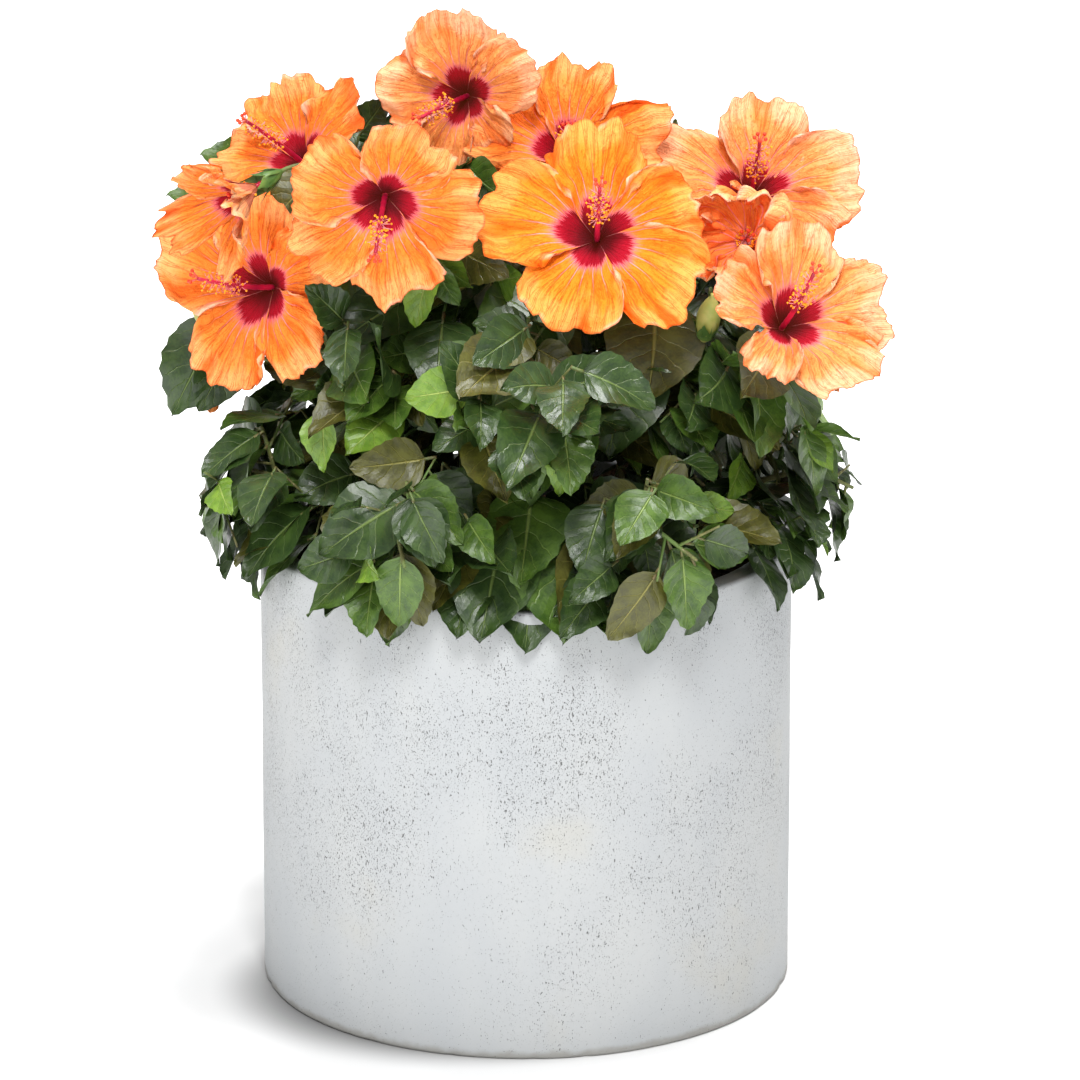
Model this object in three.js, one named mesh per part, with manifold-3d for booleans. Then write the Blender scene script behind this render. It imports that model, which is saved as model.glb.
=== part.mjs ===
// A hibiscus shrub in full bloom, planted in a round cast pot. Millimetres, +Z up, front towards -Y.
// The origin is the centre of the pot's flat underside.
import * as THREE from "three";
import { mergeVertices } from "three/addons/utils/BufferGeometryUtils.js";
import Module from "manifold-3d";

const wasm = await Module();
wasm.setup();

// The pot, and the potting mix that stands a little under its rim and rises to the shrub's foot.
const POT = { radius: 200, height: 350, wall: 18, floor: 20, edge: 3, sides: 48 };
const SOIL = { crown: 330, edge: 318, flat: 60 };
const CLEARANCE = 0.3;
const SLIVER = 0.05;

// The leader stands on the potting mix and runs up to the crown's top. Each bough leaves it and ends a share
// of the way to the mass of foliage that it carries, bending at shares of its own reach and rise.
const LEADER = {
  rootRadius: 10,
  tipRadius: 4,
  tip: 520,
  lean: 6,
  flare: 0.7,
  flareHeight: 12,
  sides: 7,
  steps: 8,
};
const BOUGH = {
  rootRadius: 5.2,
  tipRadius: 3.4,
  reachShare: 0.55,
  riseShare: 0.55,
  bendReach: 0.6,
  bendRise: 0.3,
  sides: 4,
  steps: 4,
};

// Rings of masses round the leader: their centres' reach and height, the azimuth of the first, where the
// lowest bough leaves the leader and how far above it the next do, and how far the leaves hang.
const TIERS = [
  { name: "low", count: 7, turn: 25.7, reach: 192, height: 392, fork: 350, forkStep: 4, droop: 0.8 },
  { name: "mid", count: 6, turn: 0, reach: 156, height: 496, fork: 396, forkStep: 5, droop: 0.55 },
  { name: "high", count: 4, turn: 45, reach: 88, height: 588, fork: 446, forkStep: 11, droop: 0.35 },
];
const TOP = { name: "top", at: [-2, 4, 640], droop: 0.2 };

// What grows in a mass: one stem, twigs round it, and leaves on both. The stem goes a little past the mass's
// centre and above it.
const STEM = {
  rootRadius: 3.3,
  tipRadius: 1.8,
  past: 1.14,
  rise: 22,
  bend: 0.45,
  sides: 3,
  steps: 3,
  leavesAt: [0.3, 0.65, 0.98],
  leafTurn: 900,
};

// Twigs get shorter towards the stem's tip. Each one's direction is a sum of three: square to the stem, along
// it, and up, the last less so in a mass that droops.
const TWIG = {
  count: 5,
  from: 0.12,
  to: 0.98,
  firstTurn: 40,
  length: 62,
  rootLength: 1.1,
  lengthLoss: 0.4,
  lengthSpread: 0.3,
  tries: [1, 0.7, 0.45],
  rootRadius: 2,
  tipRadius: 1.3,
  sides: 3,
  room: 3,
  square: 0.85,
  onward: 0.55,
  up: 0.25,
  hang: 0.4,
};

// A leaf's direction is a sum of three: square to its limb, along it, and away from the leader. It faces
// outwards and up, and is tried at each of its lengths and swings in turn until it has room.
const LEAF = {
  perTwig: 3,
  length: 80,
  spread: 12,
  widthShare: 0.7,
  widest: 0.46,
  thickness: 1.6,
  fold: 0.1,
  root: 0.5,
  beforeTip: 0.03,
  square: 0.8,
  onward: 0.4,
  away: 0.35,
  faceUp: 0.7,
  tries: [1, 0.84, 0.7],
  swings: [0, 50, -50, 100, -100, 180],
  room: 1.5,
};
const GOLDEN_ANGLE = 137.5;
const SEED = 1100;

// The crown's outline for leaves: widest at the belly, rounded above it, drawn in a little below it.
const CROWN = { belly: 470, radius: 272, above: 205, power: 2.2, drawIn: 0.25, lowest: 290, offPot: 4 };

// Each bloom: where its eye is, the azimuth and lift that its face and the end of its column point in, how
// far it is across, and how far its petals' rims stand forward of the eye.
const BLOOMS = [
  { at: [-48, -20, 690], face: [-14, 10], column: [-48, -12], across: 128, cup: 4 },
  { at: [37, -30, 655], face: [-10, 38], column: [12, 68], across: 146, cup: 6 },
  { at: [48, -150, 627], face: [0, 32], column: [6, 66], across: 166, cup: 2 },
  { at: [-98, -165, 642], face: [-4, -8], column: [-8, -40], across: 142, cup: 2 },
  { at: [-207, -60, 549], face: [-32, 10], column: [-80, 16], across: 154, cup: 4 },
  { at: [-172, 5, 637], face: [-45, 42], column: [-70, 36], across: 130, cup: 14 },
  { at: [-199, -120, 641], face: [-70, -6], column: [-74, -20], across: 86, cup: 24 },
  { at: [176, -25, 616], face: [8, 44], column: [10, 62], across: 156, cup: 8 },
  { at: [199, -165, 561], face: [20, 36], column: [40, 60], across: 142, cup: 12 },
  { at: [158, -95, 613], face: [-5, 25], column: [0, 40], across: 72, cup: 34 },
  { at: [150, 205, 500], face: [140, 20], column: [140, 45], across: 140, cup: 4 },
  { at: [-125, 200, 522], face: [205, 25], column: [205, 50], across: 136, cup: 6 },
  { at: [225, 80, 488], face: [108, 15], column: [100, 35], across: 138, cup: 4 },
  { at: [-228, 75, 478], face: [-106, 18], column: [-100, 0], across: 132, cup: 6 },
  { at: [10, 245, 445], face: [180, 5], column: [180, -20], across: 134, cup: 4 },
  { at: [-8, 112, 585], face: [185, 48], column: [180, 66], across: 124, cup: 8 },
];
const PETALS = {
  count: 5,
  stepsEach: 3,
  middle: 0.55,
  middleCup: 0.3,
  middleLobe: 0.5,
  sink: 2,
  notch: 0.24,
  roundness: 0.6,
  depth: 18,
  thickness: 1.8,
  wave: 2.5,
  wavesEach: 1.5,
};
const COLUMN = {
  length: 70,
  radius: 2.2,
  rootDepth: 4,
  anthers: 6.5,
  antherShares: [0.6, 0.9],
  sides: 3,
  steps: 4,
};
const CALYX = { length: 26, radius: 8, behind: 44, closing: 1.6, sides: 4, steps: 2 };
const STALK = {
  rootRadius: 2.2,
  tipRadius: 1.7,
  froms: [0.35, 0.55, 0.75, 0.9],
  bend: 0.4,
  inCalyx: 3,
  sides: 3,
  steps: 3,
  leavesAt: [0.3, 0.62],
  leafTurn: 700,
};

// What a flower keeps free of leaves: round its calyx and stalk, before its petals, behind them, and a drum
// round its column, as a share of its width.
const FLOWER_ROOM = { around: 2, before: 8, behind: 4, drum: 0.3 };

// Each bud: where its scales meet, and the azimuth and lift that it points in.
const BUDS = [
  { at: [137, -126, 572], face: [20, 66] },
  { at: [-250, -30, 540], face: [-70, 50] },
  { at: [70, 120, 585], face: [150, 55] },
  { at: [215, 20, 560], face: [95, 50] },
  { at: [-80, 190, 600], face: [210, 60] },
];
const BUD = { length: 42, radius: 9, closing: 2.8, sides: 5, steps: 3 };

const CONCRETE = new THREE.MeshStandardMaterial({ color: 0xd2d5d4, roughness: 0.8, metalness: 0 });
const POTTING_MIX = new THREE.MeshStandardMaterial({ color: 0x33261c, roughness: 1, metalness: 0 });
const BARK = new THREE.MeshStandardMaterial({ color: 0x6b5a42, roughness: 0.85, metalness: 0 });
const FOLIAGE = new THREE.MeshStandardMaterial({ color: 0x2c4a22, roughness: 0.4, metalness: 0 });

const UP = new THREE.Vector3(0, 0, 1);
const radians = THREE.MathUtils.degToRad;

// A seeded run of numbers from 0 to 1.
function makeRandom(seed) {
  let state = seed >>> 0;
  return () => {
    state = (Math.imul(state, 1664525) + 1013904223) >>> 0;
    return state / 2 ** 32;
  };
}

// The unit vector at an azimuth from the front, towards +X, and a lift above the level, in degrees.
function heading(azimuth, lift = 0) {
  const a = radians(azimuth);
  const l = radians(lift);
  return new THREE.Vector3(Math.sin(a) * Math.cos(l), -Math.cos(a) * Math.cos(l), Math.sin(l));
}

function around(azimuth, reach, height) {
  return heading(azimuth).multiplyScalar(reach).setZ(height);
}

// A unit vector square to an axis, turned round it by some degrees.
function radiallyFrom(axis, degrees) {
  const level = Math.abs(axis.z) > 0.95 ? new THREE.Vector3(1, 0, 0) : UP;
  const side = new THREE.Vector3().crossVectors(axis, level).normalize();
  const rise = new THREE.Vector3().crossVectors(side, axis);
  return side.multiplyScalar(Math.cos(radians(degrees))).addScaledVector(rise, Math.sin(radians(degrees)));
}

const taper = (root, tip) => (share) => root + (tip - root) * share;
const bend = (start, control, end) => new THREE.QuadraticBezierCurve3(start, control, end);
const along = (from, direction, distance) => from.clone().addScaledVector(direction, distance);

// A three.js geometry as a solid, with its shared vertices merged.
function solidFrom(geometry) {
  const bare = geometry.clone();
  for (const name of Object.keys(bare.attributes)) if (name !== "position") bare.deleteAttribute(name);
  const merged = mergeVertices(bare, 1e-4);
  return new wasm.Manifold(
    new wasm.Mesh({
      numProp: 3,
      vertProperties: new Float32Array(merged.attributes.position.array),
      triVerts: new Uint32Array(merged.index.array),
    }),
  );
}

function geometryFrom(solid) {
  const mesh = solid.getMesh();
  const geometry = new THREE.BufferGeometry();
  geometry.setAttribute("position", new THREE.BufferAttribute(mesh.vertProperties, 3));
  geometry.setIndex(new THREE.BufferAttribute(mesh.triVerts, 1));
  geometry.computeVertexNormals();
  return geometry;
}

// The largest body of a solid, without slivers, scraps and hollows that cutting and fusing leave.
function largestBody(solid) {
  return solid.simplify(SLIVER).decompose().reduce((a, b) => (a.volume() > b.volume() ? a : b));
}

// A profile of radii and heights turned round the Z axis.
function turned(profile) {
  const points = profile.map(([r, z]) => new THREE.Vector2(r, z));
  return solidFrom(new THREE.LatheGeometry(points, POT.sides).rotateX(Math.PI / 2));
}

// A cylinder wrapped ring by ring round a path. radiusAt gives its radius at each share of the path.
function limb(path, radiusAt, { sides, steps = 1 }) {
  const geometry = new THREE.CylinderGeometry(1, 1, 1, sides, steps);
  const frames = path.computeFrenetFrames(steps);
  const position = geometry.attributes.position;
  for (let i = 0; i < position.count; i++) {
    const share = position.getY(i) + 0.5;
    const ring = Math.round(share * steps);
    const radius = radiusAt(share);
    const point = along(path.getPointAt(share), frames.normals[ring], position.getX(i) * radius);
    point.addScaledVector(frames.binormals[ring], -position.getZ(i) * radius);
    position.setXYZ(i, point.x, point.y, point.z);
  }
  return solidFrom(geometry);
}

function pot() {
  const { radius, height, wall, floor, edge } = POT;
  const inner = radius - wall;
  return turned([
    [0, 0],
    [radius - edge, 0],
    [radius, edge],
    [radius, height - edge],
    [radius - edge, height],
    [inner + edge, height],
    [inner, height - edge],
    [inner, floor],
    [0, floor],
  ]);
}

function pottingMix() {
  const outer = POT.radius - POT.wall - CLEARANCE;
  const foot = POT.floor + CLEARANCE;
  return turned([
    [0, foot],
    [outer, foot],
    [outer, SOIL.edge],
    [SOIL.flat, SOIL.crown],
    [0, SOIL.crown],
  ]);
}

// The leader sways twice on its way up. Its line starts level with the mix, and its solid is cut flat there.
const leaderRise = LEADER.tip - SOIL.crown;
const leaderPath = new THREE.CubicBezierCurve3(
  new THREE.Vector3(0, 0, SOIL.crown),
  new THREE.Vector3(LEADER.lean, LEADER.lean, SOIL.crown + leaderRise / 3),
  new THREE.Vector3(-LEADER.lean, 0, SOIL.crown + (leaderRise * 2) / 3),
  new THREE.Vector3(-LEADER.lean, LEADER.lean, LEADER.tip),
);

function leader(extraRadius = 0) {
  const width = taper(LEADER.rootRadius, LEADER.tipRadius);
  const flareAt = (share) => LEADER.flare * Math.exp((-share * leaderRise) / LEADER.flareHeight);
  return limb(leaderPath, (share) => width(share) * (1 + flareAt(share)) + extraRadius, LEADER);
}

// A mass's own stem goes on from the tip of its bough, or of the leader, a hair clear of it.
function mass(name, centre, droop, bough) {
  const limbBelow = bough || leaderPath;
  const direction = limbBelow.getTangent(1);
  const start = along(limbBelow.getPoint(1), direction, CLEARANCE);
  const end = centre.clone();
  if (bough) end.set(centre.x * STEM.past, centre.y * STEM.past, centre.z + STEM.rise);
  const stem = bend(start, along(start, direction, start.distanceTo(end) * STEM.bend), end);
  const stemSolid = limb(stem, taper(STEM.rootRadius, STEM.tipRadius), STEM);
  return { name, centre, droop, bough, stem, stemSolid, parts: [stemSolid], stalks: [] };
}

// Every mass with the bough that carries it. Neighbouring boughs leave the leader at different heights.
function layOut() {
  const masses = [];
  for (const tier of TIERS) {
    for (let i = 0; i < tier.count; i++) {
      const azimuth = tier.turn + (i * 360) / tier.count;
      const fork = tier.fork + ((2 * i) % (tier.count | 1)) * tier.forkStep;
      const start = leaderPath.getPoint((fork - SOIL.crown) / leaderRise);
      const reach = tier.reach * BOUGH.reachShare;
      const end = around(azimuth, reach, fork + (tier.height - fork) * BOUGH.riseShare);
      const bendHeight = start.z + (end.z - start.z) * BOUGH.bendRise;
      const control = around(azimuth, reach * BOUGH.bendReach, bendHeight);
      const centre = around(azimuth, tier.reach, tier.height);
      masses.push(mass(`${tier.name}_${i + 1}`, centre, tier.droop, bend(start, control, end)));
    }
  }
  masses.push(mass(TOP.name, new THREE.Vector3(...TOP.at), TOP.droop));
  masses.forEach((m, i) => (m.random = makeRandom(SEED + i)));
  return masses;
}

// The room a flower takes: a disc for its petals, a drum before it for its column, and a rod behind it.
function giveRoom(flower, { radius, behind, before, drumRadius = 0, drumLength = 0 }) {
  const at = new THREE.Vector3(...flower.at);
  flower.axis = heading(...flower.face);
  flower.base = along(at, flower.axis, -CALYX.behind);
  flower.holds = (point, room) => {
    const away = point.clone().sub(at);
    const ahead = away.dot(flower.axis);
    const off = away.addScaledVector(flower.axis, -ahead).length();
    return (
      (off < radius + room && ahead > -behind - room && ahead < before + room) ||
      (off < drumRadius + room && ahead > 0 && ahead < drumLength + room) ||
      (off < CALYX.radius + FLOWER_ROOM.around + room && ahead > -CALYX.behind - room && ahead < 0)
    );
  };
}

function distanceTo(points, p) {
  const nearest = new THREE.Vector3();
  const reaches = points.slice(1).map((end, i) => {
    new THREE.Line3(points[i], end).closestPointToPoint(p, true, nearest);
    return nearest.distanceTo(p);
  });
  return Math.min(...reaches);
}

const masses = layOut();
const flowers = [...BLOOMS, ...BUDS];
const boughs = masses.filter((m) => m.bough);
const limbs = boughs.map((m) => ({ points: m.bough.getPoints(12), radius: BOUGH.rootRadius }));
limbs.push({ points: leaderPath.getPoints(12), radius: LEADER.rootRadius });

// True inside the crown's outline and clear of the pot and the potting mix.
function inCrown(p) {
  const off = Math.hypot(p.x, p.y);
  const overPot = off < POT.radius + CROWN.offPot;
  const above = (p.z - CROWN.belly) / CROWN.above;
  if (p.z < (overPot ? POT.height + CROWN.offPot : CROWN.lowest) || above >= 1) return false;
  if (above < 0) return off < CROWN.radius + CROWN.drawIn * (p.z - CROWN.belly);
  return off < CROWN.radius * (1 - above ** CROWN.power) ** (1 / CROWN.power);
}

// True in a mass's own space: nearer to its centre than to any other's, and off the others' flower stalks.
function inOwnSpace(owner, p, room) {
  const offStalk = STALK.rootRadius + FLOWER_ROOM.around + room;
  return masses.every((m) => {
    if (m === owner) return true;
    const lead = m.centre.distanceToSquared(p) - owner.centre.distanceToSquared(p);
    const beforeBorder = lead / (2 * m.centre.distanceTo(owner.centre));
    return beforeBorder > room && m.stalks.every((points) => distanceTo(points, p) > offStalk);
  });
}

const offLimbs = (p, room) => limbs.every((l) => distanceTo(l.points, p) > l.radius + room);
const offFlowers = (p, room) => flowers.every((f) => !f.holds(p, room));

function isFree(owner, p, room) {
  return inCrown(p) && offFlowers(p, room) && offLimbs(p, room) && inOwnSpace(owner, p, room);
}

// Five petals in one wavy corolla: a closed shell round its face, from the throat out to the rim.
function corolla(flower) {
  const { count, middle, notch, depth, thickness } = PETALS;
  const steps = count * PETALS.stepsEach;
  const rings = [
    { share: middle, rise: flower.cup * PETALS.middleCup - PETALS.sink, lobed: PETALS.middleLobe },
    { share: 1, rise: flower.cup, lobed: 1 },
  ];
  const vertices = [];
  for (const under of [0, thickness]) {
    for (const { share, rise, lobed } of rings) {
      for (let i = 0; i < steps; i++) {
        const turn = (i / steps) * 2 * Math.PI;
        const lobe = Math.abs(Math.sin((turn * count) / 2)) ** PETALS.roundness;
        const reach = (flower.across / 2) * share * (1 - notch * lobed * (1 - lobe));
        const ripple = lobed * PETALS.wave * Math.sin(turn * count * PETALS.wavesEach + flower.at[0]);
        vertices.push(reach * Math.cos(turn), reach * Math.sin(turn), rise + ripple - under);
      }
    }
    vertices.push(0, 0, -depth - under);
  }
  const faces = [];
  const face = (...corners) => corners.slice(2).forEach((c, i) => faces.push(corners[0], corners[i + 1], c));
  const below = rings.length * steps + 1;
  for (let i = 0; i < steps; i++) {
    const j = (i + 1) % steps;
    const [outer, outerNext] = [i + steps, j + steps];
    face(below - 1, i, j);
    face(i, outer, outerNext, j);
    face(outer, below + outer, below + outerNext, outerNext);
    face(below + j, below + outerNext, below + outer, below + i);
    face(2 * below - 1, below + j, below + i);
  }
  const geometry = new THREE.BufferGeometry();
  geometry.setAttribute("position", new THREE.BufferAttribute(new Float32Array(vertices), 3));
  geometry.setIndex(faces);
  geometry.applyQuaternion(new THREE.Quaternion().setFromUnitVectors(UP, flower.axis));
  return solidFrom(geometry.translate(...flower.at));
}

// The column bends on its way out of the throat and swells where its anthers stand.
function column(flower) {
  const throat = along(new THREE.Vector3(...flower.at), flower.axis, -PETALS.depth - COLUMN.rootDepth);
  const bendAt = along(throat, flower.axis, COLUMN.length / 2);
  const tip = along(bendAt, heading(...flower.column), COLUMN.length / 2);
  const [antherFrom, antherTo] = COLUMN.antherShares;
  const radiusAt = (share) => (share > antherFrom && share < antherTo ? COLUMN.anthers : COLUMN.radius);
  return limb(bend(throat, bendAt, tip), radiusAt, COLUMN);
}

// A calyx or a bud: it swells out of the stalk's end as a sine does, up to its closing angle in radians.
function swelling(flower, form) {
  const foot = along(flower.base, flower.axis, -STALK.inCalyx);
  const path = new THREE.LineCurve3(foot, along(flower.base, flower.axis, form.length));
  const swell = form.radius - STALK.tipRadius;
  return limb(path, (share) => STALK.tipRadius + swell * Math.sin(share * form.closing), form);
}

function flowerParts(flower) {
  if (!flower.across) return [swelling(flower, BUD)];
  return [corolla(flower), column(flower), swelling(flower, CALYX)];
}

// A flower's stalk leaves the stem that passes nearest to it and keeps off the limbs and the other flowers.
function attach(flower) {
  let best = null;
  for (const owner of masses) {
    for (const share of STALK.froms) {
      const from = owner.stem.getPoint(share);
      const gap = from.distanceTo(flower.base);
      const path = bend(from, along(flower.base, flower.axis, -gap * STALK.bend), flower.base);
      const middle = path.getPoints(8).slice(1, 7);
      const clear = (f) => f === flower || middle.every((p) => !f.holds(p, TWIG.room));
      const free = middle.every((p) => offLimbs(p, TWIG.room)) && flowers.every(clear);
      if (free && (!best || gap < best.gap)) best = { gap, path, owner };
    }
  }
  flower.owner = best.owner;
  flower.stalk = best.path;
  flower.stalkSolid = limb(best.path, taper(STALK.rootRadius, STALK.tipRadius), STALK);
  best.owner.stalks.push(best.path.getPoints(8));
  best.owner.parts.push(flower.stalkSolid, ...flowerParts(flower));
}

// A leaf's corners: its root on the limb's axis, its tip, its two edges, and its midrib above and below.
function leafCorners(root, direction, face, length) {
  const side = new THREE.Vector3().crossVectors(direction, face).normalize();
  const normal = new THREE.Vector3().crossVectors(side, direction);
  const width = length * LEAF.widthShare;
  const middle = along(root, direction, length * LEAF.widest);
  const edge = along(middle, normal, width * LEAF.fold);
  return [
    root,
    along(along(root, direction, length), normal, -length * LEAF.fold),
    along(edge, side, width / 2),
    along(edge, side, -width / 2),
    along(middle, normal, LEAF.thickness / 2),
    along(middle, normal, -LEAF.thickness / 2),
  ];
}

// A folded blade of eight faces, thickest at its midrib.
function leafSolid(corners) {
  const [root, tip, left, right, top, under] = corners.keys();
  const geometry = new THREE.BufferGeometry().setFromPoints(corners);
  geometry.setIndex([
    ...[root, left, top, left, tip, top, tip, right, top, right, root, top],
    ...[left, root, under, tip, left, under, right, tip, under, root, right, under],
  ]);
  return solidFrom(geometry);
}

// Points all over a leaf, to test it against what it must keep clear of.
function leafSamples([root, tip, left, right, top]) {
  const samples = [tip, left, right, top];
  for (const edge of [left, right, top]) {
    for (const share of [0.33, 0.66]) {
      samples.push(edge.clone().lerp(tip, share), edge.clone().lerp(root, share * 0.8));
    }
  }
  return samples;
}

// A leaf grows where it has room: in its mass's space, and crossing nothing that has grown but its own limb.
function growLeaf(owner, path, share, turn, limbSolid) {
  const length = LEAF.length + (owner.random() - 0.5) * 2 * LEAF.spread;
  const at = path.getPoint(share);
  const limbAlong = path.getTangent(share);
  const outward = new THREE.Vector3(at.x, at.y, 0).normalize();
  const face = along(outward, UP, LEAF.faceUp);
  for (const lengthShare of LEAF.tries) {
    for (const swing of LEAF.swings) {
      const direction = radiallyFrom(limbAlong, turn + swing).multiplyScalar(LEAF.square);
      direction.addScaledVector(limbAlong, LEAF.onward).addScaledVector(outward, LEAF.away);
      direction.addScaledVector(UP, -owner.droop).normalize();
      const corners = leafCorners(along(at, direction, -LEAF.root), direction, face, length * lengthShare);
      if (!leafSamples(corners).every((p) => isFree(owner, p, LEAF.room))) continue;
      const leaf = leafSolid(corners);
      if (owner.parts.some((part) => part !== limbSolid && !leaf.intersect(part).isEmpty())) continue;
      owner.parts.push(leaf);
      return;
    }
  }
}

// A twig leaves the stem sideways. It is shortened until it has room, or is skipped.
function growTwig(owner, share, turn) {
  const start = owner.stem.getPoint(share);
  const stemAlong = owner.stem.getTangent(share);
  const direction = radiallyFrom(stemAlong, turn).multiplyScalar(TWIG.square);
  direction.addScaledVector(stemAlong, TWIG.onward).addScaledVector(UP, TWIG.up - TWIG.hang * owner.droop);
  direction.normalize();
  const spread = 1 + TWIG.lengthSpread * (owner.random() - 0.5);
  const length = TWIG.length * (TWIG.rootLength - TWIG.lengthLoss * share) * spread;
  for (const lengthShare of TWIG.tries) {
    const path = new THREE.LineCurve3(start, along(start, direction, length * lengthShare));
    if (!path.getPoints(5).slice(1).every((p) => isFree(owner, p, TWIG.room))) continue;
    const twig = limb(path, taper(TWIG.rootRadius, TWIG.tipRadius), TWIG);
    owner.parts.push(twig);
    for (let i = 0; i < LEAF.perTwig; i++) {
      const leafShare = (i + 1) / LEAF.perTwig - LEAF.beforeTip;
      growLeaf(owner, path, leafShare, turn + i * GOLDEN_ANGLE, twig);
    }
    return;
  }
}

function growMass(owner) {
  const spacing = (TWIG.to - TWIG.from) / (TWIG.count - 1);
  for (let i = 0; i < TWIG.count; i++) {
    growTwig(owner, TWIG.from + i * spacing, TWIG.firstTurn + i * GOLDEN_ANGLE);
  }
  for (const share of STEM.leavesAt) {
    growLeaf(owner, owner.stem, share, share * STEM.leafTurn, owner.stemSolid);
  }
}

for (const f of BLOOMS) {
  giveRoom(f, {
    radius: f.across / 2,
    behind: PETALS.depth + FLOWER_ROOM.behind,
    before: f.cup + FLOWER_ROOM.before,
    drumRadius: f.across * FLOWER_ROOM.drum,
    drumLength: COLUMN.length,
  });
}
for (const f of BUDS) {
  giveRoom(f, { radius: BUD.radius + FLOWER_ROOM.around, behind: CALYX.behind, before: FLOWER_ROOM.behind });
}
flowers.forEach(attach);
masses.forEach(growMass);
for (const f of flowers) {
  for (const share of STALK.leavesAt) {
    growLeaf(f.owner, f.stalk, share, share * STALK.leafTurn, f.stalkSolid);
  }
}

const shrub = new THREE.Group();

function add(name, solid, material) {
  const mesh = new THREE.Mesh(geometryFrom(solid), material.clone());
  mesh.name = name;
  shrub.add(mesh);
}

add("pot", pot(), CONCRETE);
add("potting_mix", pottingMix(), POTTING_MIX);
add("main_stem", leader().trimByPlane([0, 0, 1], SOIL.crown + CLEARANCE), BARK);

const leaderRoom = leader(CLEARANCE);
for (const m of boughs) {
  const whole = limb(m.bough, taper(BOUGH.rootRadius, BOUGH.tipRadius), BOUGH);
  add(`bough_${m.name}`, largestBody(whole.subtract(leaderRoom)), BARK);
}
for (const m of masses) add(`foliage_${m.name}`, largestBody(wasm.Manifold.union(m.parts)), FOLIAGE);

export default shrub;
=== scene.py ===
"""Looks of a potted hibiscus shrub in full bloom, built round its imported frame.

Sizes and places are in millimetres, with +Z up and the front towards -Y, and a mesh is scaled to metres when
it becomes an object. Floor, lights and camera are in metres. The shrub grows by the same rule as the frame's
solids, and is then carried on to finer twigs.
"""

import logging
import math
import random
from collections.abc import Callable, Iterable, Sequence
from dataclasses import dataclass, field
from enum import Enum
from typing import NamedTuple

import bmesh
import bpy
import numpy as np
from mathutils import Matrix, Vector, noise
from mathutils.bvhtree import BVHTree


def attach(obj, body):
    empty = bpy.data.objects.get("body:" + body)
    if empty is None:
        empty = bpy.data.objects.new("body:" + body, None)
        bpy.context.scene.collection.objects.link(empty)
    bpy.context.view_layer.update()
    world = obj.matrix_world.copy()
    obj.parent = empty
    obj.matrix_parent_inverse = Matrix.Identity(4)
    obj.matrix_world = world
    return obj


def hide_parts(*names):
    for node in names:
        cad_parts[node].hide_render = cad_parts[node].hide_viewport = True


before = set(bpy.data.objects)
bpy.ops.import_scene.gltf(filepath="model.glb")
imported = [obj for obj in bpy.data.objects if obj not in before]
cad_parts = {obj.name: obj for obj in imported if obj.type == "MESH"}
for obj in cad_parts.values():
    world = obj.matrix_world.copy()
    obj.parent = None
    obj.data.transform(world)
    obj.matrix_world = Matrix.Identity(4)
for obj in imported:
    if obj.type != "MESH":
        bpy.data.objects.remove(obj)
log = logging.getLogger("hibiscus")

METRES = 0.001
BODY = "root"
UP = Vector((0.0, 0.0, 1.0))
GOLDEN_ANGLE = 137.5
SEED = 1100
DEEP, GREEN, OLIVE, YOUNG = range(4)
BAKE_MAP = "OFBake"
Colour = tuple[float, float, float, float]


def rgb(red: float, green: float, blue: float) -> Colour:
    """A screen colour, 0 to 255, as Blender's linear values."""
    linear = [c / 3294.6 if c <= 10.3 else ((c / 255 + 0.055) / 1.055) ** 2.4 for c in (red, green, blue)]
    return (linear[0], linear[1], linear[2], 1.0)


def smooth(low: float, high: float, value: float) -> float:
    """A soft step from 0 at low to 1 at high."""
    share = min(max((value - low) / (high - low), 0.0), 1.0)
    return share * share * (3 - 2 * share)


def between(shares: Sequence[float], values: Sequence[float], share: float) -> float:
    """The value at a share, on straight lines through some known ones."""
    return float(np.interp(share, shares, values))


def ripple(x: float, y: float, seed: float) -> float:
    """Smooth noise from about -1 to 1 at a place on a surface."""
    return noise.noise(Vector((x, y, seed)))


def heading(azimuth: float, lift: float = 0.0) -> Vector:
    """The unit vector at an azimuth from the front, towards +X, and a lift above the level, in degrees."""
    a, b = math.radians(azimuth), math.radians(lift)
    return Vector((math.sin(a) * math.cos(b), -math.cos(a) * math.cos(b), math.sin(b)))


def around(azimuth: float, reach: float, height: float) -> Vector:
    """A place at an azimuth and a reach from the Z axis.

    Args:
        azimuth: Degrees from the front, towards +X.
        reach: The distance from the axis.
        height: The height.

    Returns:
        The place.
    """
    place = heading(azimuth) * reach
    place.z = height
    return place


def polar(off: float, turn: float, height: float) -> Vector:
    """A place at a distance from the Z axis and an angle from +X, in radians."""
    return Vector((off * math.cos(turn), off * math.sin(turn), height))


def square_to(axis: Vector, turn: float) -> Vector:
    """A unit vector square to an axis, turned round it by some degrees.

    Args:
        axis: The axis.
        turn: The turn round it, in degrees.

    Returns:
        The vector.
    """
    level = Vector((1.0, 0.0, 0.0)) if abs(axis.z) > 0.95 else UP
    side = axis.cross(level).normalized()
    rise = side.cross(axis)
    return side * math.cos(math.radians(turn)) + rise * math.sin(math.radians(turn))


def placed(place: Vector, side: Vector, along: Vector, normal: Vector, scale: float = 1.0) -> Matrix:
    """The matrix that takes X, Y and Z to three directions at a place."""
    turn = Matrix((side, along, normal)).transposed().to_4x4()
    return Matrix.Translation(place) @ turn @ Matrix.Scale(scale, 4)


def pointed(place: Vector, out: Vector, scale: float) -> Matrix:
    """The matrix that turns Z towards a direction at a place."""
    side = square_to(out, 0.0)
    return placed(place, side, out.cross(side), out, scale)


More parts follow.
